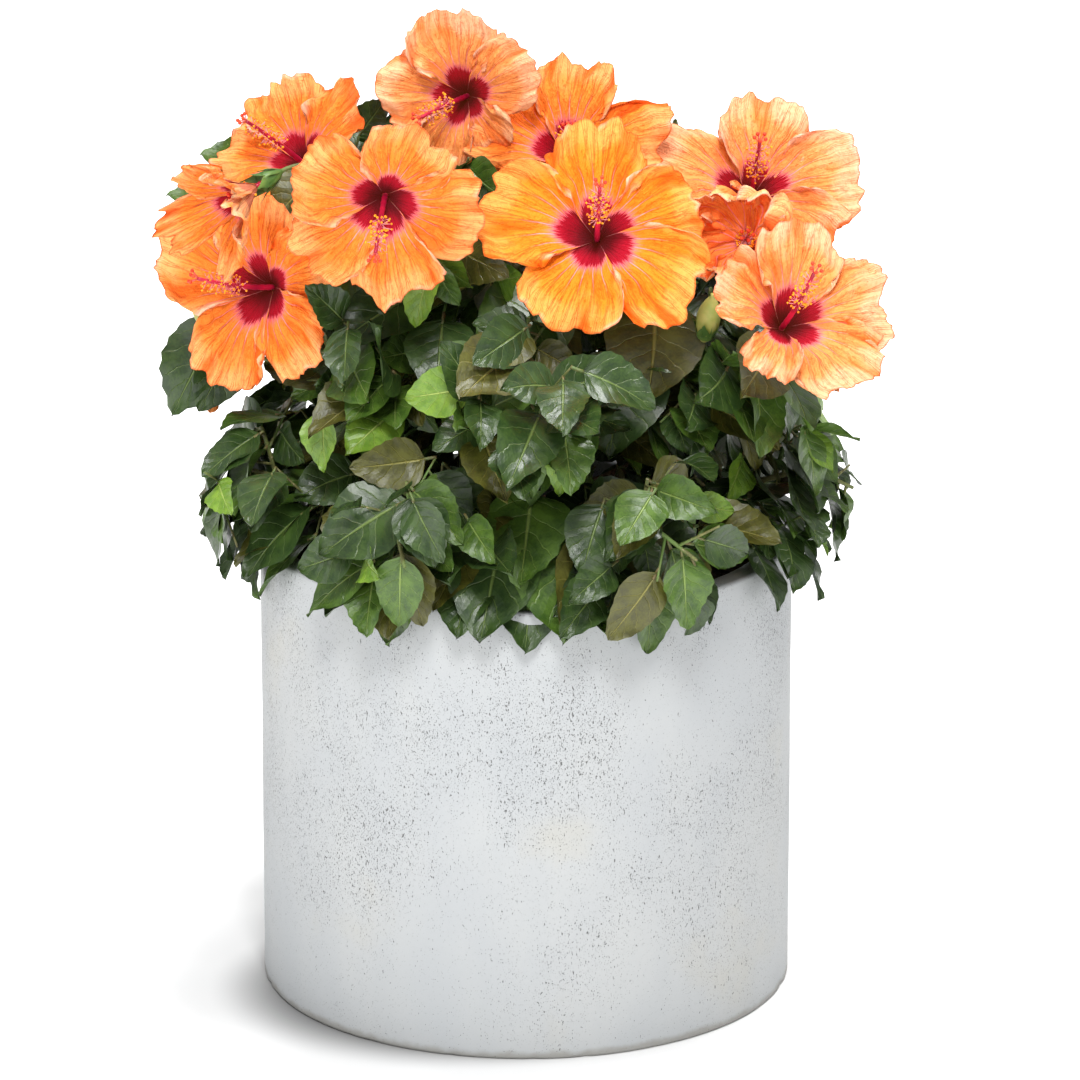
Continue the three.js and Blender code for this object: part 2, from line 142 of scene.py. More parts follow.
@dataclass(frozen=True)
class Line:
    """A Bezier line with two to four control points."""

    points: tuple[Vector, ...]

    def at(self, share: float) -> Vector:
        """The place at a share of the line.

        Args:
            share: From 0 at its start to 1 at its end.

        Returns:
            The place.
        """
        points = list(self.points)
        while len(points) > 1:
            points = [a.lerp(b, share) for a, b in zip(points, points[1:])]
        return points[0]

    def tangent(self, share: float) -> Vector:
        """The line's direction at a share of it.

        Args:
            share: From 0 at its start to 1 at its end.

        Returns:
            The direction, of unit length.
        """
        step = 1e-4
        low, high = max(share - step, 0.0), min(share + step, 1.0)
        return (self.at(high) - self.at(low)).normalized()

    def samples(self, count: int) -> list[Vector]:
        """Places at even shares, both ends among them."""
        return [self.at(i / count) for i in range(count + 1)]

    def segments(self, count: int) -> np.ndarray:
        """The line as straight pieces, in an array of start and end places."""
        points = np.array([tuple(p) for p in self.samples(count)])
        return np.stack([points[:-1], points[1:]], axis=1)


def bend(start: Vector, control: Vector, end: Vector) -> Line:
    """A line that leaves towards a control point and bends to its end."""
    return Line((start, control, end))


class Slot(Enum):
    """The record's material slots."""

    CONCRETE = "cast_concrete"
    POTTING_MIX = "potting_mix"
    BARK = "bark"
    FOLIAGE = "foliage"


class Wire:
    """An output socket. An expression on it adds the Math nodes that work it out."""

    def __init__(self, paint: "Paint", socket: bpy.types.NodeSocket) -> None:
        """Keeps the socket and the material that it is in."""
        self.paint = paint
        self.socket = socket

    def __add__(self, other: "Wire | float") -> "Wire":
        """The sum."""
        return self.paint.math("ADD", self, other)

    __radd__ = __add__

    def __sub__(self, other: "Wire | float") -> "Wire":
        """The difference."""
        return self.paint.math("SUBTRACT", self, other)

    def __rsub__(self, other: float) -> "Wire":
        """The difference, with the number first."""
        return self.paint.math("SUBTRACT", other, self)

    def __mul__(self, other: "Wire | float") -> "Wire":
        """The product."""
        return self.paint.math("MULTIPLY", self, other)

    __rmul__ = __mul__

    def __pow__(self, other: float) -> "Wire":
        """The power."""
        return self.paint.math("POWER", self, other)

    def __abs__(self) -> "Wire":
        """The size without the sign."""
        return self.paint.math("ABSOLUTE", self)


Value = Wire | float | Colour | Vector


class Paint:
    """A material in the making, with the nodes that lead to its shader."""

    def __init__(self, name: str) -> None:
        """Starts a material that has only its Principled shader.

        Args:
            name: The material's name.
        """
        self.material = bpy.data.materials.new(name)
        self.material.use_nodes = True
        self.tree = self.material.node_tree
        self.shader = self.tree.nodes["Principled BSDF"]

    def _feed(self, socket: bpy.types.NodeSocket, value: Value) -> None:
        """Links a wire to a socket, or sets a plain value.

        Args:
            socket: The input socket.
            value: What it gets.
        """
        if isinstance(value, Wire):
            self.tree.links.new(value.socket, socket)
        else:
            socket.default_value = value

    def node(self, kind: str, settings: dict, inputs: dict, output: int = 0) -> Wire:
        """Adds a node.

        Args:
            kind: The node's type.
            settings: Its settings, set first.
            inputs: Values or wires for its sockets, by name or number.
            output: The number of the socket to return.

        Returns:
            The output socket.
        """
        made = self.tree.nodes.new(kind)
        for name, value in settings.items():
            setattr(made, name, value)
        for name, value in inputs.items():
            self._feed(made.inputs[name], value)
        return Wire(self, made.outputs[output])

    def math(self, operation: str, *values: "Wire | float") -> Wire:
        """A Math node on some values."""
        return self.node("ShaderNodeMath", {"operation": operation}, dict(enumerate(values)))

    def step(self, value: Wire, low: float, high: float) -> Wire:
        """A soft step from 0 at low to 1 at high."""
        settings = {"interpolation_type": "SMOOTHSTEP"}
        return self.node("ShaderNodeMapRange", settings, {0: value, 1: low, 2: high, 3: 0.0, 4: 1.0})

    def mix(self, share: "Wire | float", first: Value, second: Value) -> Wire:
        """Two colours mixed by a share."""
        return self.node("ShaderNodeMix", {"data_type": "RGBA"}, {0: share, 6: first, 7: second}, output=2)

    def noise(self, place: Wire, scale: float, detail: float = 2.0, roughness: float = 0.5) -> Wire:
        """Noise from 0 to 1 at a place."""
        inputs = {"Vector": place, "Scale": scale, "Detail": detail, "Roughness": roughness}
        return self.node("ShaderNodeTexNoise", {}, inputs)

    def join(self, x: "Wire | float", y: "Wire | float", z: "Wire | float" = 0.0) -> Wire:
        """Three numbers as a vector."""
        return self.node("ShaderNodeCombineXYZ", {}, {0: x, 1: y, 2: z})

    def split(self, vector: Wire) -> tuple[Wire, Wire, Wire]:
        """A vector's three numbers.

        Args:
            vector: The vector.

        Returns:
            Its X, Y and Z.
        """
        parts = self.node("ShaderNodeSeparateXYZ", {}, {0: vector})
        node = parts.socket.node
        return parts, Wire(self, node.outputs[1]), Wire(self, node.outputs[2])

    def map(self, name: str) -> tuple[Wire, Wire]:
        """The two numbers of a piece's UV map."""
        x, y, _ = self.split(self.node("ShaderNodeUVMap", {"uv_map": name}, {}))
        return x, y

    def place(self, stretch: tuple[float, float, float] = (1.0, 1.0, 1.0)) -> Wire:
        """Object coordinates, in metres, stretched along the axes."""
        plain = self.node("ShaderNodeTexCoord", {}, {}, output=3)
        return self.node("ShaderNodeMapping", {}, {"Vector": plain, "Scale": stretch})

    def bump(self, height: Wire, distance: float, strength: float = 1.0) -> Wire:
        """A normal from a height, whose full range stands for a distance in metres."""
        inputs = {"Height": height, "Distance": distance, "Strength": strength}
        return self.node("ShaderNodeBump", {}, inputs)

    def finish(self, **sockets: Value) -> bpy.types.Material:
        """Feeds the shader's sockets, named with _ for a space, and returns the material.

        Args:
            sockets: What each socket of the shader gets.

        Returns:
            The material.
        """
        for name, value in sockets.items():
            self._feed(self.shader.inputs[name.replace("_", " ")], value)
        return self.material


@dataclass(frozen=True)
class ConcreteFinish:
    """Pale cast concrete with small dark air holes in patches."""

    pale: Colour = rgb(175, 177, 177)
    grey: Colour = rgb(168, 171, 173)
    warm: Colour = rgb(176, 172, 159)
    pit: Colour = rgb(62, 61, 58)
    foot: Colour = rgb(130, 126, 116)

    def material(self) -> bpy.types.Material:
        """Makes the material. The holes are taller than wide, as the air rose in the mould.

        Returns:
            The material.
        """
        paint = Paint("cast_concrete")
        place = paint.place()
        _, _, height = paint.split(place)
        cloud = paint.noise(place, 5.0, detail=6.0, roughness=0.6)
        streak = paint.noise(paint.place((1.0, 1.0, 0.25)), 26.0, detail=4.0)
        base = paint.mix(paint.step(cloud * 0.7 + streak * 0.3, 0.36, 0.66), self.grey, self.pale)
        stain = paint.step(paint.noise(place, 9.0, detail=5.0), 0.58, 0.75)
        base = paint.mix(stain * 0.45, base, self.warm)
        crowding = paint.noise(paint.place((1.0, 1.0, 0.7)), 9.0, detail=5.0, roughness=0.6)
        patch = paint.step(crowding, 0.34, 0.62)
        upper = paint.step(height + patch * 0.12, 0.06, 0.30)
        holes = paint.noise(paint.place((1.0, 1.0, 0.45)), 860.0, detail=1.0)
        specks = paint.noise(paint.place((1.0, 1.0, 0.6)), 1500.0, detail=0.0)
        crowd = patch * (upper * 0.8 + 0.2)
        deep = paint.step(holes + crowd * 0.106, 0.745, 0.785)
        small = paint.step(specks + crowd * 0.10, 0.785, 0.815)
        hole = paint.math("MAXIMUM", deep, small * 0.7)
        base = paint.mix(hole * 0.8, base, self.pit)
        # Darker and browner in a thin, uneven band at the very bottom of the wall.
        bottom_band = paint.step(paint.noise(place, 70.0, detail=4.0) * 0.009 - height, -0.0035, 0.002)
        base = paint.mix(bottom_band * 0.6, base, self.foot)
        grain = paint.noise(place, 260.0, detail=5.0, roughness=0.7)
        relief = paint.bump(grain * 0.12 + cloud * 0.3 - hole, 0.001, 0.6)
        return paint.finish(Base_Color=base, Roughness=grain * 0.2 + 0.62, Normal=relief)


@dataclass(frozen=True)
class MixFinish:
    """Dark potting mix of bark and peat."""

    dark: Colour = rgb(38, 28, 22)
    light: Colour = rgb(92, 68, 50)

    def material(self) -> bpy.types.Material:
        """Makes the material.

        Returns:
            The material.
        """
        paint = Paint("potting_mix")
        crumb = paint.noise(paint.place(), 220.0, detail=6.0, roughness=0.7)
        patch = paint.noise(paint.place(), 45.0, detail=3.0)
        base = paint.mix(paint.step(crumb * 0.6 + patch * 0.4, 0.42, 0.68), self.dark, self.light)
        return paint.finish(Base_Color=base, Roughness=0.95, Normal=paint.bump(crumb, 0.002))


@dataclass(frozen=True)
class BarkFinish:
    """Thin bark with fine cracks along the limb and pale breathing spots."""

    name: str
    dark: Colour
    light: Colour
    fresh: Colour
    green: float

    def material(self) -> bpy.types.Material:
        """Makes the material. green is the share of the surface that is still fresh and green.

        Returns:
            The material.
        """
        paint = Paint(self.name)
        place = paint.place()
        cracks = paint.noise(paint.place((1.0, 1.0, 0.2)), 420.0, detail=5.0, roughness=0.65)
        blotch = paint.noise(place, 40.0, detail=4.0)
        spots = paint.step(paint.noise(paint.place((1.0, 1.0, 1.8)), 300.0, detail=0.0), 0.70, 0.75)
        base = paint.mix(paint.step(cracks, 0.35, 0.65), self.dark, self.light)
        base = paint.mix(paint.step(blotch, 0.85 - self.green, 1.0 - self.green * 0.6), base, self.fresh)
        base = paint.mix(spots * 0.55, base, rgb(168, 150, 120))
        relief = paint.bump(cracks * 0.6 + spots * 0.5 + blotch * 0.3, 0.0008)
        return paint.finish(Base_Color=base, Roughness=0.68 - blotch * 0.15, Normal=relief)


@dataclass(frozen=True)
class LeafFinish:
    """A glossy leaf with a pale midrib, steep pairs of side veins and a slightly quilted blade."""

    name: str
    blade: Colour
    shade: Colour
    vein: Colour
    gloss: float
    pairs: int = 5

    def material(self) -> bpy.types.Material:
        """Makes the material, in the leaf's own UV map: across in X and from the stalk to the tip in Y.

        Returns:
            The material.
        """
        paint = Paint(self.name)
        x, y = paint.map(BAKE_MAP)
        off = abs(x * 2.0 - 1.0)
        sway = paint.noise(paint.join(x * 3.0, y * 5.0), 1.0, detail=2.0)
        rows = y * float(self.pairs) - off * 1.45 + (sway - 0.5) * 0.8 + 0.9
        gap = abs(paint.math("FRACT", rows) - 0.5) * 2.0
        side = paint.step(gap, 0.90, 1.0) * paint.step(off, 1.1, 0.5)
        rib = paint.step(off * (y + 0.6), 0.055, 0.012)
        net = paint.noise(paint.join(x * 26.0, y * 34.0), 1.0, detail=3.0, roughness=0.6)
        patch = paint.noise(paint.join(x * 4.0, y * 5.0, 7.0), 1.0, detail=3.0)
        base = paint.mix(paint.step(patch * 0.6 + net * 0.4, 0.34, 0.66), self.shade, self.blade)
        base = paint.mix(side * 0.45, base, self.vein)
        base = paint.mix(rib * 0.8, base, self.vein)
        swell = gap * -0.35 - rib * 0.7 - side * 0.3 + net * 0.14 + patch * 0.45
        relief = paint.bump(swell, 0.0015, 0.75)
        rough = net * 0.16 + patch * 0.14 + (0.94 - self.gloss)
        return paint.finish(Base_Color=base, Roughness=rough, Normal=relief, Specular_IOR_Level=0.5)


@dataclass(frozen=True)
class PetalFinish:
    """A crinkled petal: a ragged crimson eye, a pink halo, and fine veins that fan out to the rim."""

    name: str
    pale: Colour
    warm: Colour
    deep: Colour
    vein: Colour
    eye: Colour = rgb(168, 0, 36)
    throat: Colour = rgb(80, 0, 18)
    ring: Colour = rgb(226, 70, 116)
    halo: Colour = rgb(250, 146, 158)
    rim: Colour = rgb(255, 200, 170)
    back: Colour = rgb(255, 204, 160)
    main_veins: float = 8.0
    eye_share: float = 0.31
    halo_share: float = 0.43
    # How strongly the petal glows: a painted glow that stands in for light shining through the petal.
    glow: float = 0.04

    def _veins(self, paint: Paint, across: Wire, y: Wire) -> tuple[Wire, Wire]:
        """The veins, which fork twice on their way out.

        Args:
            paint: The material.
            across: The place across the petal, from 0 to 1, swayed.
            y: The place from the throat, 0, to the rim, 1.

        Returns:
            The main veins and the forks, each with 1 on its lines.
        """
        cell = paint.math("FRACT", across * self.main_veins) - 0.5
        wide = y + 0.12
        first = abs(abs(cell) - paint.step(y, 0.22, 1.0) * 0.27)
        second = abs(first - paint.step(y, 0.45, 1.1) * 0.13)
        trunk = paint.step(abs(cell) * wide, 0.042, 0.008) * paint.step(y, 1.0, 0.5)
        forks = paint.step(first * wide, 0.032, 0.006) * paint.step(y, 0.2, 0.4)
        twigs = paint.step(second * wide, 0.026, 0.005) * paint.step(y, 0.45, 0.65)
        return trunk, paint.math("MAXIMUM", forks, twigs * 0.75)

    def material(self) -> bpy.types.Material:
        """Makes the material, in the petal's own UV map: across in X and from the throat to the rim in Y.

        Returns:
            The material.
        """
        paint = Paint(self.name)
        x, y = paint.map("petal")
        side = abs(x * 2.0 - 1.0)
        # The folds attribute holds painted shade and light: the fold shade, the pale edge with its painted
        # highlight, and 1 on the underside.
        fold_shade, pale_edge_and_highlight, under = paint.split(paint.node("ShaderNodeAttribute", {"attribute_name": "folds"}, {}))
        sway = paint.noise(paint.join(x * 3.0, y * 2.0, 1.0), 1.0, detail=1.0)
        across = x + (sway - 0.5) * 0.08
        streak = paint.noise(paint.join(across * 60.0, y * 1.1, 3.0), 1.0, detail=2.0, roughness=0.55)
        hair = paint.noise(paint.join(across * 170.0, y * 2.2, 5.0), 1.0, detail=1.0)
        crepe = paint.noise(paint.join(x * 26.0, y * 24.0, 9.0), 1.0, detail=4.0, roughness=0.62)
        patch = paint.noise(paint.join(x * 3.0, y * 2.6, 11.0), 1.0, detail=3.0)
        trunk, forks = self._veins(paint, across, y)
        veins = paint.math("MAXIMUM", trunk, forks * 0.8) * paint.step(crepe + streak, 0.7, 1.1)
        outer = paint.step(y + (patch - 0.5) * 0.5, 0.55, 1.0)
        # Lighter towards the rim and in patches, and lighter on the ridges of the folds as painted light.
        light = fold_shade * 0.3 + patch * 0.36 + streak * 0.1 + outer * 0.3
        base = paint.mix(paint.step(light, 0.38, 0.72), self.warm, self.pale)
        # Painted shade: the deep colour in the hollows of the folds and in the curls.
        base = paint.mix(paint.step(fold_shade, 0.46, 0.14) * 0.7, base, self.deep)
        base = paint.mix(paint.step(hair * 0.7 + streak * 0.3, 0.53, 0.74) * 0.36, base, self.deep)
        # Painted shade: wide soft stripes of the deep colour across the petal, standing in for the shade of
        # its pleats.
        fold = paint.step(paint.noise(paint.join(across * 5.0, y * 1.1, 17.0), 1.0, detail=3.0), 0.52, 0.72)
        base = paint.mix(fold * 0.2, base, self.deep)
        base = paint.mix(paint.step(crepe, 0.52, 0.70) * 0.34, base, self.deep)
        # Thin wrinkle lines, sunk a little by the bump and darkened in the deep colour as painted shade.
        crease = paint.noise(paint.join(across * 13.0, y * 1.8, 23.0), 1.0, detail=4.0, roughness=0.6)
        crease = paint.step(abs(crease - 0.5), 0.022, 0.004) * paint.step(y, 0.3, 0.5)
        base = paint.mix(crease * 0.24, base, self.deep)
        base = paint.mix(veins * 0.7, base, self.vein)
        edge = y + side ** 2.0 * 0.1
        glow = paint.step(edge + (streak - 0.5) * 0.3 - trunk * 0.09, self.halo_share, self.halo_share - 0.18)
        base = paint.mix(glow * 0.7, base, self.halo)
        ring = paint.step(edge + (hair - 0.5) * 0.22 - trunk * 0.03, self.eye_share + 0.06, self.eye_share)
        base = paint.mix(ring * 0.75, base, self.ring)
        lines = trunk * paint.step(y, 0.66, 0.42)
        base = paint.mix(lines * 0.6, base, rgb(255, 168, 176))
        ragged = edge + (hair - 0.5) * 0.12 + (streak - 0.5) * 0.14 - trunk * 0.02
        blot = paint.step(ragged, self.eye_share + 0.018, self.eye_share - 0.018)
        heart = paint.mix(paint.step(y + (streak - 0.5) * 0.25, 0.26, 0.06), self.eye, self.throat)
        # Fine lighter pink streaks in the eye: partly the eye's own lines, partly a painted sheen.
        heart = paint.mix(paint.step(hair, 0.56, 0.8) * 0.16, heart, rgb(206, 50, 90))
        # Painted shade: darker towards the petal's sides in the eye, where the petals meet in the throat.
        heart = paint.mix(paint.step(side, 0.4, 0.8) * 0.6, heart, self.throat)
        base = paint.mix(blot, base, heart)
        claw = paint.step(side, 0.93, 0.99) * paint.step(y, 0.26, 0.17) * paint.step(y, 0.05, 0.10)
        base = paint.mix(claw * 0.35, base, rgb(236, 150, 150))
        # Paler where an edge stands up: partly the pale underside showing there, partly a painted highlight.
        base = paint.mix(pale_edge_and_highlight * 0.8, base, self.rim)
        lip = paint.step(y, 0.975, 0.995) * 0.5
        base = paint.mix(lip, base, self.vein)
        # The underside in its own paler colour, with painted shade in the warmer one where its folds sink.
        back = paint.mix(paint.step(streak * 0.5 + fold_shade * 0.5, 0.3, 0.7), self.warm, self.back)
        back = paint.mix(veins * 0.5, back, self.vein)
        back = paint.mix(blot * 0.5, back, rgb(196, 60, 70))
        base = paint.mix(under, base, back)
        height = crepe * 1.1 + streak * 0.5 - veins * 0.4 - crease * 0.35
        relief = paint.bump(height, 0.002, 0.85)
        # Painted glow: a faint emission in the deep colour lifts the shade, standing in for light that shines
        # through the petal.
        return paint.finish(Base_Color=base, Roughness=0.58, Normal=relief, Specular_IOR_Level=0.13,
                            Emission_Color=self.deep, Emission_Strength=self.glow)


@dataclass(frozen=True)
class PlainFinish:
    """Small parts of one colour, a little mottled: stalks, scales, pollen and the like."""

    name: str
    base: Colour
    other: Colour
    roughness: float = 0.5
    scale: float = 140.0

    def material(self) -> bpy.types.Material:
        """Makes the material.

        Returns:
            The material.
        """
        paint = Paint(self.name)
        mottle = paint.noise(paint.place(), self.scale, detail=3.0)
        base = paint.mix(paint.step(mottle, 0.35, 0.65), self.base, self.other)
        relief = paint.bump(mottle, 0.0003, 0.5)
        return paint.finish(Base_Color=base, Roughness=self.roughness, Normal=relief)


def shape(build: Callable[[bmesh.types.BMesh], None]) -> bpy.types.Mesh:
    """A smooth mesh made by a function that works on an empty bmesh.

    Args:
        build: Fills the bmesh.

    Returns:
        The mesh.
    """
    bm = bmesh.new()
    build(bm)
    for face in bm.faces:
        face.smooth = True
    mesh = bpy.data.meshes.new("shape")
    bm.to_mesh(mesh)
    bm.free()
    return mesh


def tube(line: Line, radius_at: Callable[[float], float], sides: int, steps: int) -> bpy.types.Mesh:
    """A closed tube along a line.

    Args:
        line: The tube's middle.
        radius_at: Its radius at each share of the line.
        sides: How many sides it has round.
        steps: How many steps it has along.

    Returns:
        The mesh, in millimetres.
    """

    def build(bm: bmesh.types.BMesh) -> None:
        """Extrudes a ring from step to step and turns each to the line.

        Args:
            bm: The bmesh to fill.
        """
        ring = bmesh.ops.create_circle(bm, cap_ends=True, radius=1.0, segments=sides)["verts"]
        edges = list(bm.edges)
        side = square_to(line.tangent(0.0), 0.0)
        last = Matrix.Identity(4)
        for i in range(steps + 1):
            share = i / steps
            along = line.tangent(share)
            side = (side - along * side.dot(along)).normalized()
            here = placed(line.at(share), side, along.cross(side), along, max(radius_at(share), 0.02))
            if i:
                grown = bmesh.ops.extrude_edge_only(bm, edges=edges)["geom"]
                ring = [g for g in grown if isinstance(g, bmesh.types.BMVert)]
                new = set(ring)
                edges = [g for g in grown if isinstance(g, bmesh.types.BMEdge) and set(g.verts) <= new]
            bmesh.ops.transform(bm, matrix=here @ last.inverted(), verts=ring)
            last = here
        bmesh.ops.edgeloop_fill(bm, edges=edges)
        bmesh.ops.recalc_face_normals(bm, faces=bm.faces)

    return shape(build)


class Cluster:
    """Many small shapes on their way to become one piece."""

    def __init__(self, name: str) -> None:
        """Starts an empty piece with a name."""
        self.name = name
        self.bm = bmesh.new()

    def add(self, mesh: bpy.types.Mesh, matrix: Matrix) -> None:
        """Adds a copy of a shape, moved by a matrix.

        Args:
            mesh: The shape, which stays as it is.
            matrix: Where the copy goes.
        """
        copy = mesh.copy()
        copy.transform(matrix)
        self.bm.from_mesh(copy)
        bpy.data.meshes.remove(copy)

    def take(self, mesh: bpy.types.Mesh) -> None:
        """Adds a shape that nothing else needs."""
        self.bm.from_mesh(mesh)
        bpy.data.meshes.remove(mesh)

    def piece(self, finish: bpy.types.Material, nodes: Iterable[str], slot: Slot | None) -> bpy.types.Object:
        """Makes the object.

        Args:
            finish: Its material.
            nodes: The frame's nodes that it stands for.
            slot: The record's slot that fits it, if one does; not used.

        Returns:
            The object, at the origin and in metres.
        """
        mesh = bpy.data.meshes.new(self.name)
        self.bm.to_mesh(mesh)
        self.bm.free()
        mesh.transform(Matrix.Scale(METRES, 4))
        mesh.materials.append(finish)
        made = bpy.data.objects.new(self.name, mesh)
        bpy.context.scene.collection.objects.link(made)
        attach(made, BODY)
        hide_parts(*nodes)
        log.info("%s: %d triangles", self.name, sum(len(p.vertices) - 2 for p in mesh.polygons))
        return made


@dataclass(frozen=True)
class Tier:
    """A ring of masses round the leader."""

    name: str
    count: int
    turn: float
    reach: float
    height: float
    fork: float
    fork_step: float
    droop: float


@dataclass
class Mass:
    """A mass of foliage: the stem that it grows on, and what has grown."""

    name: str
    centre: Vector
    droop: float
    bough: Line | None
    stem: Line
    state: int
    solids: list[tuple[object, BVHTree]] = field(default_factory=list)
    stalks: list[np.ndarray] = field(default_factory=list)
    twigs: list[Line] = field(default_factory=list)

    def draw(self) -> float:
        """The next number of the mass's own seeded run, from 0 to 1."""
        self.state = (self.state * 1664525 + 1013904223) & 0xFFFFFFFF
        return self.state / 2**32


@dataclass(frozen=True)
class Petal:
    """How one petal differs: its direction, its size, and how far it lies over its neighbours."""

    turn: float
    length: float = 1.0
    width: float = 1.0
    over: float = 0.0
    curl: float = 0.0


class Tint(Enum):
    """The blooms' colours."""

    PEACH = "peach"
    ORANGE = "orange"
    GOLDEN = "golden"
    FADED = "faded"


@dataclass
class Flower:
    """A bloom or a bud: where its eye or its scales are, where it faces, and what it keeps clear."""

    at: tuple[float, float, float]
    face: tuple[float, float]
    column: tuple[float, float] = (0.0, 0.0)
    across: float = 0.0
    cup: float = 0.0
    tint: Tint = Tint.ORANGE
    petals: tuple[Petal, ...] = ()
    depth: float = 20.0
    shown: tuple[float, float] | None = None
    drift: tuple[float, float, float] = (0.0, 0.0, 0.0)
    column_share: float = 1.0
    stalk: Line | None = None
    owner: Mass | None = None

    @property
    def axis(self) -> Vector:
        """The direction that it faces."""
        return heading(*self.face)

    @property
    def eye(self) -> Vector:
        """Its eye's place."""
        return Vector(self.at)

    @property
    def base(self) -> Vector:
        """The end of its stalk."""
        return self.eye - self.axis * CALYX_BEHIND

    @property
    def shown_axis(self) -> Vector:
        """The direction that it faces now that it has opened."""
        return heading(*(self.shown or self.face))

    @property
    def shown_base(self) -> Vector:
        """The end of its stalk now that it has opened."""
        return self.eye + Vector(self.drift) - self.shown_axis * CALYX_BEHIND

    def shown_stalk(self) -> Line:
        """Its stalk, bent to where the open flower has moved.

        Returns:
            The stalk's line.
        """
        start = self.stalk.at(0.0)
        gap = (start - self.shown_base).length
        return bend(start, self.shown_base - self.shown_axis * gap * 0.4, self.shown_base)

    def matrix(self) -> Matrix:
        """Takes X to its right, Y up it and Z out of it, where it is now that it has opened.

        Returns:
            The matrix.
        """
        axis = self.shown_axis
        right = UP.cross(axis).normalized()
        return placed(self.eye + Vector(self.drift), right, axis.cross(right), axis)


CALYX_BEHIND = 44.0
CALYX_RADIUS = 8.0
COLUMN_LENGTH = 70.0
THROAT_DEPTH = 18.0
BUD_RADIUS = 9.0

BLOOMS = [
    Flower((-48, -20, 690), (-14, 10), (-48, -12), 128, 4, Tint.PEACH,
           (Petal(100, 1.03, 1.1, 1.2), Petal(28, 0.98), Petal(-46, 0.78, 0.8, -0.4, 5),
            Petal(-112, 0.88, 1.0, 0.3), Petal(172, 0.99, 1.0, -0.6))),
    Flower((37, -30, 655), (-10, 38), (12, 68), 146, 6, Tint.ORANGE,
           (Petal(86, 1.0, 0.95, 0.4), Petal(10, 1.08, 0.95, -0.5, 6), Petal(-60, 0.9), Petal(-130, 0.9),
            Petal(160, 0.98, 1.0, 0.8)), drift=(-8, 0, -2), column_share=0.55),
    Flower((48, -150, 627), (0, 32), (6, 66), 166, 2, Tint.GOLDEN,
           (Petal(90, 1.0, 0.92, 0.8), Petal(18, 0.96, 0.95, 0.0, 3), Petal(-38, 1.04, 0.95, 0.7, 4),
            Petal(-112, 0.96, 1.04, -0.6), Petal(167, 1.06, 1.0, 0.2, 6)), 24, drift=(4, 0, -2)),
    Flower((-98, -165, 642), (-4, -8), (-8, -40), 142, 2, Tint.ORANGE,
           (Petal(152, 0.97, 1.0, 0.9, 3), Petal(64, 0.95, 1.1, 0.2), Petal(-6, 1.04, 1.0, -0.8),
            Petal(-80, 1.03, 0.98, 0.9, 4), Petal(-146, 1.02, 1.0, -0.5)), drift=(-5, 0, 6)),
    Flower((-207, -60, 549), (-32, 10), (-80, 16), 154, 4, Tint.ORANGE,
           (Petal(165, 1.06, 1.0, 0.6, 5), Petal(96, 0.92, 1.0, 0.0), Petal(32, 0.9, 0.95, -0.4),
            Petal(-40, 0.96, 1.0, 0.3), Petal(-112, 1.06, 0.96, -0.7, 3)), 26, drift=(7, 0, 6)),
    Flower((-172, 5, 637), (-45, 42), (-70, 36), 130, 14, Tint.ORANGE, drift=(-1, 0, 4)),
    Flower((-199, -120, 641), (-70, -6), (-74, -20), 86, 24, Tint.ORANGE,
           (Petal(-78, 1.1, 1.1, 0.6, 4), Petal(-158, 1.3, 0.75, 0.3, 6), Petal(136, 0.95, 0.9, -0.3),
            Petal(62, 0.8, 0.9, 0.2), Petal(-8, 0.9, 1.0, 0.5)),
           26, shown=(-54, -20), drift=(-15, 6, -4), column_share=0.3),
    Flower((176, -25, 616), (8, 44), (10, 62), 156, 8, Tint.PEACH,
           (Petal(155, 1.0, 1.0, -0.6), Petal(72, 0.9, 1.2, 0.9), Petal(2, 1.04, 1.0, -0.5),
            Petal(-52, 1.0, 0.95, 0.2), Petal(-128, 0.8, 0.85, 0.4, 6)), 26, drift=(-8, 0, 8)),
    Flower((199, -165, 561), (20, 36), (40, 60), 142, 12, Tint.PEACH,
           (Petal(147, 0.94, 1.0, -0.6), Petal(75, 0.96, 1.12, 0.9), Petal(3, 1.04, 1.0, -0.6),
            Petal(-56, 1.02, 1.0, 0.2), Petal(-128, 0.8, 0.8, 0.5, 8)), 26, drift=(-6, 0, 4)),
    Flower((158, -95, 613), (-5, 25), (0, 40), 72, 34, Tint.FADED, shown=(-14, 26), drift=(0, -4, -8),
           column_share=0.2),
    Flower((150, 205, 500), (140, 20), (140, 45), 140, 4, Tint.ORANGE),
    Flower((-125, 200, 522), (205, 25), (205, 50), 136, 6, Tint.PEACH),
    Flower((225, 80, 488), (108, 15), (100, 35), 138, 4, Tint.GOLDEN, drift=(-12, 16, 4)),
    Flower((-228, 75, 478), (-106, 18), (-100, 0), 132, 6, Tint.PEACH, drift=(12, 16, 6), column_share=0.55),
    Flower((10, 245, 445), (180, 5), (180, -20), 134, 4, Tint.ORANGE),
    Flower((-8, 112, 585), (185, 48), (180, 66), 124, 8, Tint.PEACH),
]
BUDS = [
    Flower((137, -126, 572), (20, 66)),
    Flower((-250, -30, 540), (-70, 50)),
    Flower((70, 120, 585), (150, 55)),
    Flower((215, 20, 560), (95, 50)),
    Flower((-80, 190, 600), (210, 60)),
]


